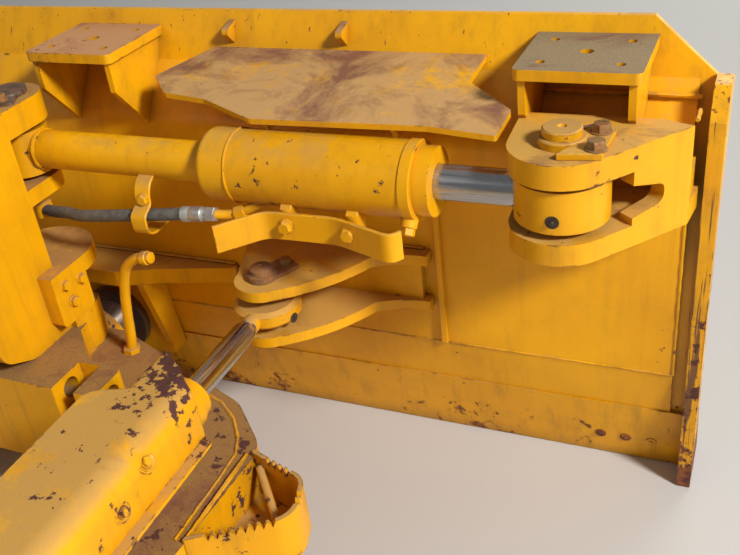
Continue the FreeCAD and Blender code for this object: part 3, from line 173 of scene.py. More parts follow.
def enamel(
    name, dust, rust, chips, grime_and_shade, bloom=0.0, soil=SOIL, scratches=0.0, steel=None, foot=0.0, nose=None
):
    """Worn yellow enamel on steel. Dust lies on what faces up, rust comes through in patches, and
    chips show the dark primer. bloom is how far rust has stained the coat, foot is the rust near
    the ground, nose = (axis, from, to) is where chips crowd, and steel = (axis, limit) leaves hard
    chrome bare below that place."""
    material, tree, shader = blank_material(name)
    shader.inputs["Specular IOR Level"].default_value = 0.36
    place = node(tree, "TexCoord").outputs["Object"]
    face = node(tree, "NewGeometry").outputs["Normal"]
    up = node(tree, "SeparateXYZ", None, {0: face}).outputs["Z"]

    # Broad fading over half a metre, and mottling over a hand's breadth.
    fade = node(
        tree, "TexNoise", {"Scale": 1000 / 480, "Detail": 3.0, "Roughness": 0.6}, {"Vector": place}
    ).outputs[0]
    fade = node(tree, "MapRange", {"From Min": 0.36, "From Max": 0.66}, {"Value": fade}).outputs[0]
    paint = node(
        tree, "Mix", {"data_type": "RGBA", 6: linear(YELLOW), 7: linear(YELLOW_DEEP)}, {0: fade}
    ).outputs[2]
    mottle = node(
        tree, "TexNoise", {"Scale": 1000 / 90, "Detail": 4.0, "Roughness": 0.65}, {"Vector": place}
    ).outputs[0]
    dirt = node(
        tree, "MapRange", {"From Min": 0.48, "From Max": 0.8, "To Max": 0.55 * grime_and_shade}, {"Value": mottle}
    ).outputs[0]
    paint = node(
        tree, "Mix", {"data_type": "RGBA", 7: linear("#A8741C")}, {0: dirt, 6: paint}
    ).outputs[2]

    # Dirty water has run down the upright faces in streaks about 35 mm wide.
    tall = node(
        tree, "Mapping", {"Scale": (1000 / 35, 1000 / 35, 1000 / 420)}, {"Vector": place}
    ).outputs[0]
    streak = node(
        tree, "TexNoise", {"Scale": 1.0, "Detail": 4.0, "Roughness": 0.62}, {"Vector": tall}
    ).outputs[0]
    streak = node(
        tree, "MapRange", {"From Min": 0.5, "From Max": 0.8, "To Max": 0.6 * grime_and_shade}, {"Value": streak}
    ).outputs[0]
    paint = node(
        tree, "Mix", {"data_type": "RGBA", 7: linear("#8C6220")}, {0: streak, 6: paint}
    ).outputs[2]

    # Painted shade: dark soil brown in corners and under ledges, deeper where the ambient occlusion is
    # lower.
    open_air = node(tree, "AmbientOcclusion", {"samples": 4, "Distance": 60 * MM}).outputs["AO"]
    corner = node(
        tree, "MapRange", {"From Min": 0.85, "From Max": 0.3, "To Max": 0.85 * grime_and_shade}, {"Value": open_air}
    ).outputs[0]
    paint = node(
        tree, "Mix", {"data_type": "RGBA", 7: linear("#6B4A1C")}, {0: corner, 6: paint}
    ).outputs[2]

    # Dust, thin and cloudy, with grains of about 4 mm, drawn that coarse so that they show.
    lies = node(
        tree, "MapRange", {"From Min": 0.35, "From Max": 0.9, "interpolation_type": "SMOOTHSTEP"},
        {"Value": up}
    ).outputs[0]
    cloud = node(
        tree, "TexNoise", {"Scale": 1000 / 130, "Detail": 6.0, "Roughness": 0.68}, {"Vector": place}
    ).outputs[0]
    cloud = node(
        tree, "MapRange", {"From Min": 0.60 - 0.45 * dust, "From Max": 0.72 - 0.40 * dust}, {"Value": cloud}
    ).outputs[0]
    grain = node(
        tree, "TexNoise", {"Scale": 1000 / 4, "Detail": 2.0, "Roughness": 0.7}, {"Vector": place}
    ).outputs[0]
    grainy = node(
        tree, "MapRange", {"From Min": 0.3, "From Max": 0.6, "To Min": 0.7}, {"Value": grain}
    ).outputs[0]
    lies = node(tree, "Math", {"operation": "MULTIPLY"}, {0: lies, 1: cloud}).outputs[0]
    lies = node(tree, "Math", {"operation": "MULTIPLY"}, {0: lies, 1: grainy}).outputs[0]
    lies = node(tree, "Math", {"operation": "MULTIPLY", 1: min(1.0, 0.3 + dust)}, {0: lies}).outputs[0]
    earth = node(
        tree, "Mix", {"data_type": "RGBA", 6: linear(SOIL_DARK), 7: linear(soil)}, {0: mottle}
    ).outputs[2]
    earth = node(tree, "Mix", {"data_type": "RGBA", 7: linear(soil)}, {0: grainy, 6: earth}).outputs[2]
    paint = node(tree, "Mix", {"data_type": "RGBA"}, {0: lies, 6: paint, 7: earth}).outputs[2]

    # Rust that has bled into the coat in soft brown stains, a hand's breadth across.
    stands = node(tree, "MapRange", {"From Min": -0.1, "From Max": 0.9}, {"Value": up}).outputs[0]
    stain = node(
        tree, "TexNoise", {"Scale": 1000 / 170, "Detail": 5.0, "Roughness": 0.7, "Distortion": 0.6},
        {"Vector": place}
    ).outputs[0]
    stain = node(
        tree, "MapRange",
        {
            "From Min": 0.66 - 0.26 * bloom,
            "From Max": 0.80 - 0.20 * bloom,
            "To Max": 0.85 * min(1.0, bloom * 2),
        },
        {"Value": stain}
    ).outputs[0]
    stain = node(tree, "Math", {"operation": "MULTIPLY"}, {0: stain, 1: stands}).outputs[0]
    paint = node(
        tree, "Mix", {"data_type": "RGBA", 7: linear("#78493A")}, {0: stain, 6: paint}
    ).outputs[2]

    # Rust that has lifted the coat, in ragged patches of 20 to 100 mm.
    patch = node(
        tree, "TexNoise", {"Scale": 1000 / 100, "Detail": 7.0, "Roughness": 0.74, "Distortion": 0.3},
        {"Vector": place}
    ).outputs[0]
    patch = node(tree, "Math", {"operation": "MULTIPLY_ADD", 1: 0.05}, {0: stands, 2: patch}).outputs[0]
    if foot:
        height = node(tree, "SeparateXYZ", None, {0: place}).outputs["Z"]
        height = node(
            tree, "MapRange", {"From Min": -0.16, "From Max": -0.44, "To Max": 0.22 * foot},
            {"Value": height}
        ).outputs[0]
        patch = node(tree, "Math", {"operation": "ADD"}, {0: patch, 1: height}).outputs[0]
    low = 0.80 - 0.24 * rust
    patch = node(
        tree, "MapRange", {"From Min": low, "From Max": low + 0.04}, {"Value": patch}
    ).outputs[0]
    scale = node(
        tree, "TexNoise", {"Scale": 1000 / 16, "Detail": 4.0, "Roughness": 0.7}, {"Vector": place}
    ).outputs[0]
    oxide = node(tree, "MapRange", {"From Min": 0.35, "From Max": 0.7}, {"Value": scale}).outputs[0]
    oxide = node(
        tree, "Mix", {"data_type": "RGBA", 6: linear(RUST), 7: linear(RUST_BRIGHT)}, {0: oxide}
    ).outputs[2]
    paint = node(tree, "Mix", {"data_type": "RGBA"}, {0: patch, 6: paint, 7: oxide}).outputs[2]

    # Chips of 3 to 25 mm in clusters, most of them along edges, down to the dark primer.
    rounded = node(tree, "Bevel", {"samples": 3, "Radius": 6 * MM}).outputs[0]
    turn = node(tree, "VectorMath", {"operation": "DOT_PRODUCT"}, {0: rounded, 1: face}).outputs["Value"]
    edge = node(
        tree, "MapRange", {"From Min": 0.99, "From Max": 0.8, "To Max": 0.12}, {"Value": turn}
    ).outputs[0]
    crowd = node(
        tree, "MapRange", {"From Min": 0.35, "From Max": 0.75, "To Min": -0.06, "To Max": 0.10},
        {"Value": fade}
    ).outputs[0]
    crowd = node(tree, "Math", {"operation": "MULTIPLY_ADD", 1: 0.16}, {0: mottle, 2: crowd}).outputs[0]
    spot = node(
        tree, "TexNoise", {"Scale": 1000 / 30, "Detail": 7.0, "Roughness": 0.66}, {"Vector": place}
    ).outputs[0]
    spot = node(tree, "Math", {"operation": "ADD"}, {0: spot, 1: edge}).outputs[0]
    spot = node(tree, "Math", {"operation": "ADD"}, {0: spot, 1: crowd}).outputs[0]
    if nose:
        axis, start, end = nose
        worn = node(tree, "SeparateXYZ", None, {0: place}).outputs[axis]
        worn = node(
            tree, "MapRange", {"From Min": start, "From Max": end, "To Min": -0.02, "To Max": 0.15},
            {"Value": worn}
        ).outputs[0]
        worn = node(tree, "Math", {"operation": "MULTIPLY"}, {0: worn, 1: stands}).outputs[0]
        spot = node(tree, "Math", {"operation": "ADD"}, {0: spot, 1: worn}).outputs[0]
    low = 0.93 - 0.19 * chips
    chipped = node(
        tree, "MapRange", {"From Min": low, "From Max": low + 0.02}, {"Value": spot}
    ).outputs[0]
    under = node(
        tree, "Mix", {"data_type": "RGBA", 6: linear(PRIMER), 7: linear("#6A4030")}, {0: scale}
    ).outputs[2]
    paint = node(tree, "Mix", {"data_type": "RGBA"}, {0: chipped, 6: paint, 7: under}).outputs[2]

    # Long scratches from stones, up to 9 mm wide and 260 mm long, where there are any.
    if scratches:
        drawn = node(
            tree, "Mapping", {"Scale": (1000 / 9, 1000 / 9, 1000 / 260), "Rotation": (0.2, 0.12, 0)},
            {"Vector": place}
        ).outputs[0]
        drawn = node(
            tree, "TexNoise", {"Scale": 1.0, "Detail": 3.0, "Roughness": 0.5}, {"Vector": drawn}
        ).outputs[0]
        drawn = node(
            tree, "MapRange",
            {
                "From Min": 0.74 - 0.14 * scratches,
                "From Max": 0.78 - 0.14 * scratches,
                "To Max": 0.85,
            },
            {"Value": drawn}
        ).outputs[0]
        paint = node(tree, "Mix", {"data_type": "RGBA"}, {0: drawn, 6: paint, 7: under}).outputs[2]

    # Old enamel still has a dull gloss. Dust and rust have none.
    dull = node(tree, "Math", {"operation": "MAXIMUM"}, {0: lies, 1: patch}).outputs[0]
    dull = node(tree, "Math", {"operation": "MAXIMUM"}, {0: dull, 1: chipped}).outputs[0]
    rough = node(tree, "MapRange", {"To Min": 0.40, "To Max": 0.88}, {"Value": dull}).outputs[0]

    # Hard chrome, ground round: bright, under a film of dust and grease in marks along it, 9 mm
    # wide, drawn that coarse so that they show.
    if steel:
        axis, limit = steel
        along = node(tree, "SeparateXYZ", None, {0: place}).outputs[axis]
        ragged = node(
            tree, "Math", {"operation": "MULTIPLY_ADD", 1: 24 * MM}, {0: spot, 2: along}
        ).outputs[0]
        bare = node(
            tree, "MapRange", {"From Min": limit + 22 * MM, "From Max": limit + 18 * MM}, {"Value": ragged}
        ).outputs[0]
        stretch = [1000 / 9, 1000 / 9, 1000 / 9]
        stretch["XYZ".index(axis)] = 1000 / 300
        drawn = node(tree, "Mapping", {"Scale": stretch}, {"Vector": place}).outputs[0]
        film = node(
            tree, "TexNoise", {"Scale": 1.0, "Detail": 5.0, "Roughness": 0.6}, {"Vector": drawn}
        ).outputs[0]
        film = node(
            tree, "MapRange", {"From Min": 0.42, "From Max": 0.78, "To Max": 0.6}, {"Value": film}
        ).outputs[0]
        bright = node(
            tree, "Mix", {"data_type": "RGBA", 6: linear(CHROME), 7: linear("#7F7161")}, {0: film}
        ).outputs[2]
        paint = node(tree, "Mix", {"data_type": "RGBA"}, {0: bare, 6: paint, 7: bright}).outputs[2]
        polish = node(tree, "MapRange", {"To Min": 0.12, "To Max": 0.55}, {"Value": film}).outputs[0]
        rough = node(tree, "Mix", {"data_type": "FLOAT"}, {0: bare, 2: rough, 3: polish}).outputs[0]
        clean = node(tree, "MapRange", {"To Min": 1.0, "To Max": 0.4}, {"Value": film}).outputs[0]
        metal = node(tree, "Math", {"operation": "MULTIPLY"}, {0: clean, 1: bare}).outputs[0]
        tree.links.new(metal, shader.inputs["Metallic"])
    tree.links.new(paint, shader.inputs["Base Color"])
    tree.links.new(rough, shader.inputs["Roughness"])

    # Orange-peel unevenness, and the step of about half a millimetre at a chip.
    relief = node(tree, "Bump", {"Strength": 0.22, "Distance": 3 * MM}, {"Height": mottle}).outputs[0]
    relief = node(
        tree, "Bump", {"Strength": 0.35, "Distance": 1 * MM}, {"Height": scale, "Normal": relief}
    ).outputs[0]
    lower = node(tree, "Math", {"operation": "MULTIPLY", 1: -1.0}, {0: chipped}).outputs[0]
    relief = node(
        tree, "Bump", {"Strength": 0.5, "Distance": 0.7 * MM}, {"Height": lower, "Normal": relief}
    ).outputs[0]
    if not steel:
        tree.links.new(relief, shader.inputs["Normal"])
    return material


def dress(material, *names):
    """Gives CAD nodes their finish."""
    for name in names:
        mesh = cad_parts[name].data
        mesh.materials.clear()
        mesh.materials.append(material)


def at(x, y, z):
    """A place in mm, from the middle of the blade's back at ground level, in the shared frame."""
    return Vector((x, y - FRAME_PIVOT_Y, z - FRAME_PIVOT_Z)) * MM


def skin(shape, rings):
    """Joins rings of vertices into one closed skin."""
    count = len(rings[0])
    for near, far in zip(rings, rings[1:]):
        for i in range(count):
            j = (i + 1) % count
            shape.faces.new((near[i], near[j], far[j], far[i]))
    shape.faces.new(rings[0][::-1])
    shape.faces.new(rings[-1])


def swept(shape, path, radii, sides):
    """A round bar of changing radius along a path in mm."""
    rings = []
    side = None
    for i, here in enumerate(path):
        ahead = (path[min(i + 1, len(path) - 1)] - path[max(i - 1, 0)]).normalized()
        side = ahead.orthogonal() if side is None else side - ahead * side.dot(ahead)
        side.normalize()
        over = ahead.cross(side)
        turns = [2 * math.pi * k / sides for k in range(sides)]
        spots = [here + radii[i] * (side * math.cos(t) + over * math.sin(t)) for t in turns]
        rings.append([shape.verts.new(at(*spot)) for spot in spots])
    skin(shape, rings)


def bead(shape, path, radius):
    """A weld bead along straight runs in mm, rippled every 7 mm."""
    points = [Vector(path[0])]
    for start, end in zip(path, path[1:]):
        run = Vector(end) - Vector(start)
        count = max(1, round(run.length / 3.5))
        points += [Vector(start) + run * (i + 1) / count for i in range(count)]
    radii = [radius * (0.84 + 0.14 * (i % 2) + 0.3 * noise.noise(p / 17)) for i, p in enumerate(points)]
    swept(shape, points, radii, 6)


def paired_beads(shape, runs):
    """Lays beads, each one given as its corners and its radius, on the left and the right alike."""
    for side in (-1, 1):
        for corners, radius in runs:
            bead(shape, [(side * x, y, z) for x, y, z in corners], radius)


def turned(shape, foot, along, profile, sides=24, turn=0.0):
    """A turned piece on a foot in mm: its profile is (height, radius), rising along a direction."""
    pose = Vector(along).to_track_quat("Z", "X").to_matrix()
    rings = []
    for height, radius in profile:
        turns = [2 * math.pi * k / sides + math.radians(turn) for k in range(sides)]
        spots = [Vector((radius * math.cos(t), radius * math.sin(t), height)) for t in turns]
        rings.append([shape.verts.new(at(*(Vector(foot) + pose @ spot))) for spot in spots])
    skin(shape, rings)


def bolt(shape, foot, along, across, height, turn):
    """A hexagon bolt's head on its washer, turned by some degrees."""
    washer = [(-2, 0.66 * across), (2.6, 0.66 * across), (3.4, 0.62 * across)]
    turned(shape, foot, along, washer)
    corner = across / math.sqrt(3)
    head = [(3, corner), (3 + 0.8 * height, corner), (3 + height, 0.86 * corner)]
    turned(shape, foot, along, head, 6, turn)


def piece(name, shape, material, body):
    """Makes one object of a mesh in work, and lets it ride on a CAD body, if one is named."""
    bmesh.ops.recalc_face_normals(shape, faces=shape.faces)
    mesh = bpy.data.meshes.new(name)
    shape.to_mesh(mesh)
    shape.free()
    mesh.polygons.foreach_set("use_smooth", [True] * len(mesh.polygons))
    mesh.set_sharp_from_angle(angle=math.radians(38))
    mesh.materials.append(material)
    made = bpy.data.objects.new(name, mesh)
    scene.collection.objects.link(made)
    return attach(made, body) if body else made


# Sheltered by the shield: smooth and warm, with few chips and faint streaks.
back_coat = enamel("sprayed_enamel_on_blade_back", dust=0.35, rust=0.12, chips=0.34, grime_and_shade=0.38)
dress(back_coat, "back_panel", "blade_ribs")
# Scoured by what the blade pushes: thin scratches, and rust that grows towards the foot.
front_coat = enamel(
    "scoured_enamel_on_mouldboard", dust=0.3, rust=0.32, chips=0.5, grime_and_shade=0.6, scratches=0.4, foot=0.5
)
dress(front_coat, "mouldboard")
# Hard edge steel holds paint badly: chipped in clusters, and brown near the ground.
edge_coat = enamel("sprayed_enamel_on_edge_steel", dust=0.35, rust=0.3, chips=0.55, grime_and_shade=0.7, foot=0.85)
dress(edge_coat, "cutting_edge", "end_bits")
# Rubbed by rocks: long dark scratches and ragged rust, worst at the foot.
end_coat = enamel(
    "scratched_enamel_on_end_plates", dust=0.3, rust=0.68, chips=0.9, grime_and_shade=1.0, scratches=1.15, foot=1.3
)
dress(end_coat, "end_plate_left", "end_plate_right")

PLOUGH_BOLT_X = (1330, 1390, 1450)
PLOUGH_FOOT = (44.0, 72.0)
EDGE_REAR = (0.0, -0.976, -0.22)
PLOUGH_NUT = [(-4, 13), (2, 13), (3, 11), (3.2, 5), (6, 4)]
nuts = bmesh.new()
for side in (-1, 1):
    for x in PLOUGH_BOLT_X:
        turned(nuts, (side * x, *PLOUGH_FOOT), EDGE_REAR, PLOUGH_NUT, 20)
piece("plough_bolts", nuts, end_coat, "blade")

# Paint over rippled beads: strong painted shade in the corners beside them draws a thin dark line.
weld_coat = enamel("enamel_over_weld_beads", dust=0.4, rust=0.45, chips=0.6, grime_and_shade=1.3)
SEAM_Z = 315.0
SEAM_FROM_X = 164.0
PANEL_HALF = 1490.0
PANEL_TOP_Z = 845.0
BEAD_Y = 0.5
PANEL_FOOT = (PANEL_HALF, BEAD_Y, SEAM_Z)
PANEL_WELDS = [
    ([(SEAM_FROM_X, BEAD_Y, SEAM_Z), PANEL_FOOT], 3.4),
    ([PANEL_FOOT, (PANEL_HALF, BEAD_Y, PANEL_TOP_Z)], 3.8),
]
blade_welds = bmesh.new()
paired_beads(blade_welds, PANEL_WELDS)
piece("blade_welds", blade_welds, weld_coat, "blade")

# Top of the blade: a rock shield of rolled plate over the tilt linkage, lifting lugs along the
# edge, and three cast pads that the mast stands on. Boots and stones have worn them brown.

# Trodden and sunned: soft brown stains and pale soil over faded yellow.
shield_coat = enamel(
    "trodden_enamel_on_rock_shield", dust=0.62, rust=0.26, chips=0.45, grime_and_shade=0.5, bloom=0.85, soil="#BC9566"
)
dress(shield_coat, "rock_shield", "top_lugs")
# Worn nearly through: a tawny film of rust and dust, with yellow left on the sides.
pad_coat = enamel(
    "rusty_enamel_on_mast_pads", dust=0.85, rust=0.45, chips=0.75, grime_and_shade=0.8, bloom=0.6, soil="#BE8A62"
)
dress(pad_coat, "mast_pad_left", "mast_pad_centre")
# The same coat under dust, with its top painted a dull olive grey as shade.
grey_coat = enamel(
    "enamel_with_painted_shade_on_right_pad", dust=1.0, rust=0.4, chips=0.6, grime_and_shade=0.7, bloom=0.55, soil="#7D725C"
)
dress(grey_coat, "mast_pad_right")

# Tilt bracket: two burned plates and a bent cheek, welded to the blade's back. A keeper plate
# under two hexagon bolts stops the pin from turning in them.

# Two coats over flame-cut plate: even yellow on the sides, ochre dust on top.
bracket_coat = enamel(
    "thick_enamel_on_brackets", dust=0.6, rust=0.30, chips=0.40, grime_and_shade=0.55, bloom=0.25, soil="#C69A4E"
)
dress(bracket_coat, "centre_bracket", "angle_bracket_left", "angle_bracket_right")
# The same coat, rubbed by stones and by the rod's eye: more chips, and brown stains on top.
rubbed_coat = enamel(
    "rubbed_enamel_on_tilt_bracket", dust=0.6, rust=0.4, chips=0.6, grime_and_shade=0.65, bloom=0.45, soil="#C69A4E"
)
dress(rubbed_coat, "tilt_bracket")


def slab(shape, outline, low, high, lay):
    """A flat plate with its edges eased. lay turns a place on it and a height into x, y, z."""
    middle = sum((Vector(p) for p in outline), Vector((0, 0))) / len(outline)
    rings = []
    for height, ease in ((low, 1.6), (low + 1.6, 0), (high - 1.6, 0), (high, 1.6)):
        spots = [Vector(p) + (middle - Vector(p)).normalized() * ease for p in outline]
        rings.append([shape.verts.new(at(*lay(p.x, p.y, height))) for p in spots])
    skin(shape, rings)


KEEPER_OUTLINE = [
    (1290, -262), (1366, -250), (1372, -143), (1336, -112), (1318, -150), (1326, -205), (1300, -240)
]
KEEPER_LOW = 947.0
KEEPER_TOP = 960.4
keeper = bmesh.new()
slab(keeper, KEEPER_OUTLINE, KEEPER_LOW, KEEPER_TOP, lambda u, v, w: (u, v, w))
piece("tilt_keeper_plate", keeper, bracket_coat, "blade")

TILT_PIN_FOOT = (1283.0, -185.0, 947.3)
TILT_PIN_HEAD = [(0, 45.5), (13, 45.5), (15.5, 43), (15.5, 37), (29, 37), (32, 34), (32.4, 9), (28, 7)]
pin_head = bmesh.new()
turned(pin_head, TILT_PIN_FOOT, (0, 0, 1), TILT_PIN_HEAD, 40)
# A turned head under dust that nothing rubs off: dull ochre on top, yellow at its side.
pin_coat = enamel("dusty_enamel_on_pin_head", dust=0.85, rust=0.35, chips=0.5, grime_and_shade=0.4)
piece("tilt_pin_head", pin_head, pin_coat, "blade")


def browned(name, dark, light, share=0.6, steel="#83766A"):
    """Turned steel with a brown crust of rust and grease, patchy over 25 mm, fine over 6 mm."""
    material, tree, shader = blank_material(name)
    place = node(tree, "TexCoord").outputs["Object"]
    crust = node(
        tree, "TexNoise", {"Scale": 1000 / 25, "Detail": 8.0, "Roughness": 0.7}, {"Vector": place}
    ).outputs[0]
    crust = node(
        tree, "MapRange", {"From Min": 0.7 - 0.45 * share, "From Max": 0.8 - 0.3 * share}, {"Value": crust}
    ).outputs[0]
    fine = node(tree, "TexNoise", {"Scale": 1000 / 6, "Detail": 5.0}, {"Vector": place}).outputs[0]
    oxide = node(
        tree, "Mix", {"data_type": "RGBA", 6: linear(dark), 7: linear(light)}, {0: fine}
    ).outputs[2]
    colour = node(tree, "Mix", {"data_type": "RGBA", 6: linear(steel)}, {0: crust, 7: oxide}).outputs[2]
    tree.links.new(colour, shader.inputs["Base Color"])
    metal = node(tree, "MapRange", {"To Min": 0.9, "To Max": 0.1}, {"Value": crust}).outputs[0]
    tree.links.new(metal, shader.inputs["Metallic"])
    rough = node(tree, "MapRange", {"To Min": 0.38, "To Max": 0.85}, {"Value": crust}).outputs[0]
    tree.links.new(rough, shader.inputs["Roughness"])
    relief = node(tree, "Bump", {"Strength": 0.4, "Distance": 0.6 * MM}, {"Height": fine}).outputs[0]
    tree.links.new(relief, shader.inputs["Normal"])
    return material


# Bare bolt heads: the plating is gone, and tawny rust lies on them with a little shine between.
rusty_bolt = browned("rusted_bolt_steel", "#5A3820", "#B67C40", 0.8, "#A38A5C")
# Ground pins: brown where air reaches them, with bright steel in between.
pin_steel = browned("browned_pin_steel", "#5E3A24", "#A9714A")
dress(pin_steel, "tilt_pin", "tower_pin", "base_pin_left", "base_pin_right")
# Pins that stand in wet soil: orange rust nearly all over, and dull.
orange_pin = browned("rust_orange_pin_steel", "#6E4526", "#AD7A45", 0.95)
dress(orange_pin, "angle_pin_left", "angle_pin_right")

KEEPER_BOLTS = ((1348, -159), (1352, -232))
ANGLE_KEEPER_BOLT = (636, -145, 580.8)
blade_bolts = bmesh.new()
for x, y in KEEPER_BOLTS:
    bolt(blade_bolts, (x, y, KEEPER_TOP), (0, 0, 1), 30, 15, x)
for side in (-1, 1):
    x, y, z = ANGLE_KEEPER_BOLT
    bolt(blade_bolts, (side * x, y, z), (0, 0, 1), 26, 12, 20)
piece("blade_bolts", blade_bolts, rusty_bolt, "blade")

ANGLE_X = 604.0
ANGLE_PIN_Y = -200.0
ANGLE_HEAD_Z = 583.3
ANGLE_PIN_HEAD = [(0, 34), (4, 34), (6, 27), (17, 26), (20, 22), (20.4, 8), (17, 6)]
pin_domes = bmesh.new()
for side in (-1, 1):
    turned(pin_domes, (side * ANGLE_X, ANGLE_PIN_Y, ANGLE_HEAD_Z), (0, 0, 1), ANGLE_PIN_HEAD, 32)
piece("angle_pin_heads", pin_domes, orange_pin, "blade")

# Beads that hold the brackets to the blade's back, laid by hand in one pass.
TILT_BRACKET_WELDS = [([(1172, 61, 948), (1498, 61, 948)], 6), ([(1501, -50, 946), (1501, -2, 946)], 5)]
ANGLE_BRACKET_WELDS = [
    ([(486, -2, 575), (924, -2, 575)], 6),
    ([(486, -2, 447), (924, -2, 447)], 5),
    ([(406, -2, 190), (406, -2, 458)], 5),
]
CENTRE_BRACKET_WELD = [(-400, -2, 464), (400, -2, 464)]
bracket_welds = bmesh.new()
for corners, radius in TILT_BRACKET_WELDS:
    bead(bracket_welds, corners, radius)
paired_beads(bracket_welds, ANGLE_BRACKET_WELDS)
bead(bracket_welds, CENTRE_BRACKET_WELD, 6)
piece("bracket_welds", bracket_welds, weld_coat, "blade")

# C-frame: burned plate welded into boxes, with a raised centre for the lift cylinders' eyes, and
# the arms that run back to the tractor. Its top is trodden, and mud has dried on it.

# Thick paint under trodden mud: brown on top, yellow on the sides, and chipped along its edges.
frame_coat = enamel(
    "thick_enamel_on_frame", dust=0.92, rust=0.42, chips=0.95, grime_and_shade=0.65, bloom=0.55, soil="#8F6C42"
)
dress(frame_coat, "cross_member", "push_arm_left", "push_arm_right", "socket_cap")
# Scuffed by boots: rust along the teeth and rims, and dust in between.
step_coat = enamel("scuffed_enamel_on_steps", dust=0.7, rust=0.5, chips=0.8, grime_and_shade=0.8, bloom=0.3)
dress(step_coat, "step_left", "step_right")

FRAME_TOP = 328.0
RIDGE = [
    (487, -351), (538, -368), (597, -413), (638, -466), (660, -515), (664, -592), (664, -683), (665, -762)
]
HUMP_FOOT = [(96, -232), (110, -300), (215, -403), (312, -403), (312, -512)]
FRAME_WELDS = [
    ([(x, y, FRAME_TOP) for x, y in RIDGE], 5),
    ([(x, y, FRAME_TOP) for x, y in HUMP_FOOT], 5),
    ([(682, -902, 190), (682, -902, 320)], 5),
    ([(540, -901, FRAME_TOP), (680, -901, FRAME_TOP)], 6),
    ([(687, -510, 333), (687, -760, 333)], 5),
]
frame_welds = bmesh.new()
paired_beads(frame_welds, FRAME_WELDS)
piece("frame_welds", frame_welds, weld_coat, "c_frame")

# Tower: bent and burned plate welded on the raised centre. The tilt cylinder turns on a pin in
# its top, and a wear block is held to each of its sides by three bolts.

# Thick paint that dries quickly: clean yellow on the sides, and tan dust on what faces up.
tower_coat = enamel(
    "thick_enamel_on_tower", dust=0.6, rust=0.3, chips=0.45, grime_and_shade=0.55, bloom=0.35, soil="#A97F50"
)
dress(tower_coat, "tower")

BLOCK_OUT = 118.0
BLOCK_BOLTS = [(-312, 552), (-256, 538), (-300, 500)]
block_bolts = bmesh.new()
for side in (-1, 1):
    for y, z in BLOCK_BOLTS:
        bolt(block_bolts, (side * BLOCK_OUT, y, z), (side, 0, 0), 23, 10, y)
piece("wear_block_bolts", block_bolts, tower_coat, "c_frame")

# The top pin and the base pins of the angle cylinders are kept by one bolt each.
TOP_PIN_BOLT = (31, -239, 986.4)
BASE_PIN_BOLT_Y = -1563.0
BASE_PIN_BOLT_Z = 579.5
tower_bolts = bmesh.new()
bolt(tower_bolts, TOP_PIN_BOLT, (0, 0, 1), 26, 12, 10)
for side in (-1, 1):
    bolt(tower_bolts, (side * ANGLE_X, BASE_PIN_BOLT_Y, BASE_PIN_BOLT_Z), (0, 0, 1), 24, 11, 10)
piece("tower_bolts", tower_bolts, rusty_bolt, "c_frame")

# Tilt cylinder: drawn tube, turned barrel and forged eyes. Weld seams run round the tube and the
# barrel, a rim stands at its gland, and an oil port on its lower side near the gland.

# Sprayed on turned steel: the smoothest of the coats, with a soft gloss and few marks.
barrel_coat = enamel("smooth_enamel_on_barrels", dust=0.34, rust=0.14, chips=0.42, grime_and_shade=0.4)
dress(barrel_coat, "tilt_gland", "angle_gland_left", "angle_gland_right")
# Scuffed in use: small chips, and dirt that is rubbed in.
tube_coat = enamel("scuffed_enamel_on_tilt_tube", dust=0.5, rust=0.3, chips=0.7, grime_and_shade=0.5, bloom=0.3)
# The coat of the barrel, which stones chip more and more towards its tube.
struck_coat = enamel(
    "chipped_enamel_on_tilt_barrel", dust=0.2, rust=0.2, chips=0.7, grime_and_shade=0.5, nose=("X", 0.56, 0.30)
)
dress(struck_coat, "tilt_barrel")
# Hard chrome on the rods mirrors the floor and the sky, beside eyes that are painted and dull.
tilt_chrome = enamel(
    "chromed_tilt_rod_and_eye", dust=0.6, rust=0.3, chips=0.4, grime_and_shade=0.5, steel=("X", 1.195)
)
dress(tilt_chrome, "tilt_rod")
angle_chrome = enamel(
    "chromed_angle_rod_and_eye", dust=0.6, rust=0.3, chips=0.4, grime_and_shade=0.5, steel=("Y", 1.70)
)
dress(angle_chrome, "angle_rod_left", "angle_rod_right")
# Bearing steel kept in grease: grey and bright, with brown only in spots.
bearing_steel = browned("greased_bearing_steel", "#4A3020", "#8A6444", 0.3)
dress(bearing_steel, "tilt_bearing", "ball_liner", "ball_stud")

AXIS_Y = -185.0
TILT_Z = 847.0
# Each seam: its place along the cylinder, its radius, and the bead's thickness.
SEAMS = ((599, 79, 3.2), (524, 47, 5), (66, 44, 6))
GLAND_RIM_X = 984.0
GLAND_RIM = [(0, 79.5), (1, 82), (22, 82), (23.5, 80)]
PORT_X = 992.0
PORT_ALONG = Vector((0, -0.585, -0.811))
PORT_FOOT = Vector((PORT_X, AXIS_Y, TILT_Z)) + 70 * PORT_ALONG
PORT_BOSS = [(0, 19), (26, 17), (28, 15)]
PORT_PLUG = [(0, 14.5), (14, 14.5), (16, 12)]


def hoop(shape, x, radius, thick):
    """A weld bead round the tilt cylinder."""
    turns = [2 * math.pi * k / 64 for k in range(65)]
    bead(shape, [(x, AXIS_Y + radius * math.cos(t), TILT_Z + radius * math.sin(t)) for t in turns], thick)


barrel_trim = bmesh.new()
for x, radius, thick in SEAMS:
    hoop(barrel_trim, x, radius, thick)
turned(barrel_trim, (GLAND_RIM_X, AXIS_Y, TILT_Z), (1, 0, 0), GLAND_RIM, 64)
turned(barrel_trim, PORT_FOOT, PORT_ALONG, PORT_BOSS)
turned(barrel_trim, PORT_FOOT + 27 * PORT_ALONG, PORT_ALONG, PORT_PLUG, 6)
piece("tilt_barrel_trim", barrel_trim, barrel_coat, "tilt_cylinder")

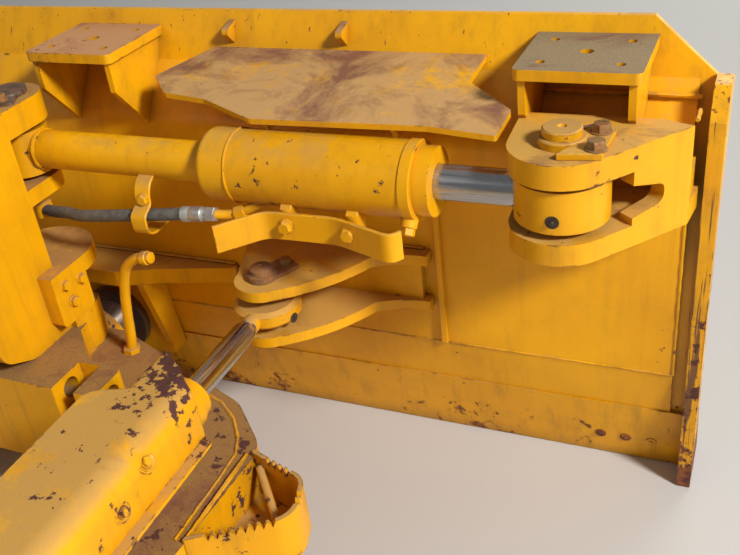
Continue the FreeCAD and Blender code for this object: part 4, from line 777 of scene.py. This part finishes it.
# Guard: a flat steel bar, folded at three places and bolted to two lugs that are welded under the
# barrel. It keeps stones off the oil fittings behind it, and has the same coat as the barrel.
GUARD_PATH = [(603, -345), (680, -262), (840, -258), (975, -305), (991, -282)]
GUARD_Z = 753.5
GUARD_WIDTH = 63.0
GUARD_THICK = 9.0
GUARD_FOLD = 22.0
GUARD_BOLTS = ((730, -265.5, 757), (873, -269.5, 757))
LUG_OUTLINE = [(-257, 745), (-217, 745), (-212, 768), (-214, 792), (-226, 803), (-244, 803), (-257, 790)]
LUG_X = (727, 876)
LUG_HALF = 13.0


def folded(corners, radius):
    """A path through its corners, each one rounded in four parts, as a press brake leaves it."""
    points = [corners[0]]
    for before, here, after in zip(corners, corners[1:], corners[2:]):
        start = here + (before - here).normalized() * min(radius, (before - here).length / 2.2)
        end = here + (after - here).normalized() * min(radius, (after - here).length / 2.2)
        points += [start.lerp(here, k / 4).lerp(here.lerp(end, k / 4), k / 4) for k in range(5)]
    return points + [corners[-1]]


def strip(shape, path, across, width, thick):
    """A bent flat bar: across is the way that its width lies."""
    rings = []
    for i, here in enumerate(path):
        ahead = (path[min(i + 1, len(path) - 1)] - path[max(i - 1, 0)]).normalized()
        out = across.cross(ahead).normalized()
        half, deep, ease = width / 2, thick / 2, 1.8
        section = [(-half, -deep + ease), (-half + ease, -deep), (half - ease, -deep), (half, -deep + ease)]
        section += [(-u, -v) for u, v in section]
        rings.append([shape.verts.new(at(*(here + across * u + out * v))) for u, v in section])
    skin(shape, rings)


guard = bmesh.new()
corners = [Vector((x, y, GUARD_Z)) for x, y in GUARD_PATH]
strip(guard, folded(corners, GUARD_FOLD), Vector((0, 0, 1)), GUARD_WIDTH, GUARD_THICK)
for x in LUG_X:
    slab(guard, LUG_OUTLINE, x - LUG_HALF, x + LUG_HALF, lambda u, v, w: (w, u, v))
for foot in GUARD_BOLTS:
    bolt(guard, foot, (0, -1, 0), 26, 12, foot[0])
guard_piece = piece("tilt_guard_bar", guard, barrel_coat, "tilt_cylinder")
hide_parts("tilt_guard")

# Strap and hose: a bent strap on the tube holds a rubber hose that feeds the tilt cylinder. It
# ends in a plated crimp, and steel fittings take the oil on behind the guard.
STRAP_PATH = [
    (-218, 822), (-238, 812), (-252, 788), (-252, 766), (-284, 750), (-284, 712), (-262, 698), (-206, 700)
]
STRAP_X = 368.0
STRAP_WIDTH = 40.0
STRAP_THICK = 6.0
STRAP_FOLD = 12.0
STRAP_BOLT = (372, -253, 779)
strap = bmesh.new()
corners = [Vector((STRAP_X, y, z)) for y, z in STRAP_PATH]
strip(strap, folded(corners, STRAP_FOLD), Vector((1, 0, 0)), STRAP_WIDTH, STRAP_THICK)
bolt(strap, STRAP_BOLT, (0, -1, 0), 22, 10, 5)
piece("hose_strap", strap, tube_coat, "tilt_cylinder")


def eased(points):
    """A smooth path through its points, with ten parts from each one to the next."""
    points = [Vector(p) for p in points]
    ends = [2 * points[0] - points[1]] + points + [2 * points[-1] - points[-2]]
    path = []
    for a, b, c, d in zip(ends, ends[1:], ends[2:], ends[3:]):
        for k in range(10):
            t = k / 10
            spot = 2 * b + (c - a) * t + (2 * a - 5 * b + 4 * c - d) * t * t
            path.append(0.5 * (spot + (3 * b - a - 3 * c + d) * t ** 3))
    return path + [points[-1]]


def plain(name, dark, light, rough, metal=0.0, size=20.0):
    """A dusty finish that drifts between two shades over a size in mm."""
    material, tree, shader = blank_material(name)
    place = node(tree, "TexCoord").outputs["Object"]
    drift = node(
        tree, "TexNoise", {"Scale": 1000 / size, "Detail": 6.0, "Roughness": 0.7}, {"Vector": place}
    ).outputs[0]
    drift = node(tree, "MapRange", {"From Min": 0.3, "From Max": 0.7}, {"Value": drift}).outputs[0]
    colour = node(
        tree, "Mix", {"data_type": "RGBA", 6: linear(dark), 7: linear(light)}, {0: drift}
    ).outputs[2]
    tree.links.new(colour, shader.inputs["Base Color"])
    dull = node(
        tree, "MapRange", {"To Min": rough, "To Max": min(1.0, rough + 0.25)}, {"Value": drift}
    ).outputs[0]
    tree.links.new(dull, shader.inputs["Roughness"])
    relief = node(tree, "Bump", {"Strength": 0.3, "Distance": 0.5 * MM}, {"Height": drift}).outputs[0]
    tree.links.new(relief, shader.inputs["Normal"])
    shader.inputs["Metallic"].default_value = metal
    return material


# Rubber over wire braid: dark grey gone pale with dust, without gloss, and faintly ribbed.
rubber = plain("dusty_braided_hose_rubber", "#474542", "#7A766C", 0.6)
HOSE_PATH = [
    (-4, -185, 680), (14, -192, 683), (60, -208, 690), (110, -222, 700), (170, -240, 708),
    (300, -256, 731), (380, -254, 740), (475, -258, 755),
]
HOSE_RADIUS = 14.0
HOSE_RIB = 0.35
hose = bmesh.new()
hose_line = eased(HOSE_PATH)
swept(hose, hose_line, [HOSE_RADIUS + HOSE_RIB * (i % 2) for i in range(len(hose_line))], 16)
hose_piece = piece("tilt_hose", hose, rubber, None)
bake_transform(hose_piece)

# The hose starts at a small post on the tower's axis, just below the tower's top pin.
POST_FOOT_Z = 660.0
post_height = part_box("tower_pin")[0][2] / MM + FRAME_PIVOT_Z - POST_FOOT_Z + 1
post = bmesh.new()
turned(post, (0, AXIS_Y, POST_FOOT_Z), (0, 0, 1), [(0, 18), (4, 22), (40, 22), (46, 16), (post_height, 16)])
piece("hose_swivel_post", post, tower_coat, "c_frame")

# Zinc plating on the crimped end: light grey, with a satin gleam.
plate_steel = plain("zinc_plated_steel", "#A9A79F", "#D6D4CC", 0.3, 0.7, 30)
CRIMP_FOOT = (470, -258, 754)
CRIMP_ALONG = (77, 3, 6)
CRIMP = [(0, 15), (2, 17.5), (18, 17.5), (20, 16), (24, 16), (26, 17.5), (52, 17.5), (55, 15), (66, 13)]
CRIMP_NUT_FOOT = (534, -256, 759)
crimp = bmesh.new()
turned(crimp, CRIMP_FOOT, CRIMP_ALONG, CRIMP, 20)
turned(crimp, CRIMP_NUT_FOOT, CRIMP_ALONG, [(0, 17), (20, 17), (22, 15)], 6)
piece("hose_crimp", crimp, plate_steel, "tilt_cylinder")

TILT_PIPE = [(548, -255, 760), (585, -242, 757), (621, -235, 768), (660, -222, 785), (690, -200, 790)]
TILT_PIPE_RADIUS = 10.5
TILT_PIPE_NUT_FOOT = (596, -240, 758)
TILT_PIPE_NUT_ALONG = (0.93, 0.2, 0.3)
pipe = bmesh.new()
pipe_line = eased(TILT_PIPE)
swept(pipe, pipe_line, [TILT_PIPE_RADIUS] * len(pipe_line), 14)
turned(pipe, TILT_PIPE_NUT_FOOT, TILT_PIPE_NUT_ALONG, [(0, 16), (22, 16), (24, 14)], 6)
piece("tilt_oil_pipe", pipe, barrel_coat, "tilt_cylinder")

# Oil pipe on the C-frame: bent steel tube, painted like the tower. It comes up out of a nut on
# the raised centre, and ends in a collar under the hose's strap.
FRAME_PIPE = [
    (336, -250, 620), (298, -250, 612), (262, -250, 580), (241, -250, 520), (227, -250, 450),
    (218, -250, 385), (208, -250, 328),
]
FRAME_PIPE_RADIUS = 12.5
COLLAR_FOOT = (325, -250, 617.7)
COLLAR_ALONG = (0.97, 0, 0.2)
COLLAR = [(-6, 15), (-4, 17), (10, 17), (12, 14), (20, 14), (22, 11)]
RISE_NUT_FOOT = (208, -250, 327)
rise = bmesh.new()
rise_line = eased(FRAME_PIPE)
swept(rise, rise_line, [FRAME_PIPE_RADIUS] * len(rise_line), 18)
turned(rise, COLLAR_FOOT, COLLAR_ALONG, COLLAR, 20)
turned(rise, RISE_NUT_FOOT, (0, 0, 1), [(0, 22), (14, 22), (16, 19)], 6)
piece("frame_oil_pipe", rise, tower_coat, "c_frame")

# Angle cylinders: each barrel lies under a bent cover of plate, chipped along its nose, that
# two bolts hold in pressed dimples. Each rod's eye has a grease nipple on a near-black disc that is
# painted shade in place of its grease hole.

# Plate that boots and stones strike: yellow with big dark chips that crowd at its nose.
cover_coat = enamel(
    "chipped_enamel_on_covers", dust=0.6, rust=0.2, chips=0.82, grime_and_shade=0.4, bloom=0.3, soil="#BE9350",
    nose=("Y", 1.22, 1.42)
)
dress(cover_coat, "angle_cover_left", "angle_cover_right")
dress(barrel_coat, "angle_barrel_left", "angle_barrel_right")
# Bolt heads that spanners have bared: brown, with traces of yellow.
dull_bolt = enamel("worn_enamel_on_cover_bolts", dust=0.5, rust=0.85, chips=1.0, grime_and_shade=0.9)
# Grease that has taken up dust, nearly black with a dull sheen, on a disc that is painted shade in
# place of a grease hole.
grease_and_hole_shade = plain("black_grease_and_painted_hole_shade", "#1E1813", "#54402A", 0.45)

# Each cover bolt: its place along the cylinder, degrees round it, and distance from its axis.
COVER_BOLTS = ((-779, 38, 84), (-868, 14, 70))
COVER_AXIS_Z = 498.0
DIMPLE = [(-3, 21), (0.5, 21), (2.4, 18.5), (0.6, 15.5)]
EYE_Z = 487.0
EYE_RADIUS = 76.5
EYE_NIPPLE = [(0, 12), (1.8, 12), (2, 10), (1.9, 4), (6, 4), (8, 2.5)]
for side, name in ((1, "right"), (-1, "left")):
    heads = bmesh.new()
    for y, degrees, reach in COVER_BOLTS:
        turn = math.radians(degrees)
        way = Vector((side * math.cos(turn), 0, math.sin(turn)))
        foot = Vector((side * ANGLE_X, y, COVER_AXIS_Z)) + reach * way
        turned(heads, foot, way, DIMPLE, 28)
        bolt(heads, foot, way, 18, 8, 12)
    piece("cover_bolts_" + name, heads, dull_bolt, "angle_cylinder_" + name)
    grease = bmesh.new()
    way = Vector((side * 0.97, -0.243, 0))
    foot = Vector((side * ANGLE_X, ANGLE_PIN_Y, EYE_Z)) + EYE_RADIUS * way
    turned(grease, foot, way, EYE_NIPPLE, 18)
    piece("angle_grease_nipple_" + name, grease, grease_and_hole_shade, "angle_piston_" + name)

# The tilt rod's eye has a larger grease nipple on its side towards the tractor, on a near-black
# disc that is painted shade in place of its grease hole.
TILT_NIPPLE_FOOT = (1285, -273.5, 831)
TILT_NIPPLE = [(0, 13), (1.8, 13), (2, 11), (1.9, 4.5), (6, 4.5), (9, 3)]
tilt_grease = bmesh.new()
turned(tilt_grease, TILT_NIPPLE_FOOT, (0, -1, 0), TILT_NIPPLE, 20)
piece("tilt_grease_nipple", tilt_grease, grease_and_hole_shade, "tilt_piston")
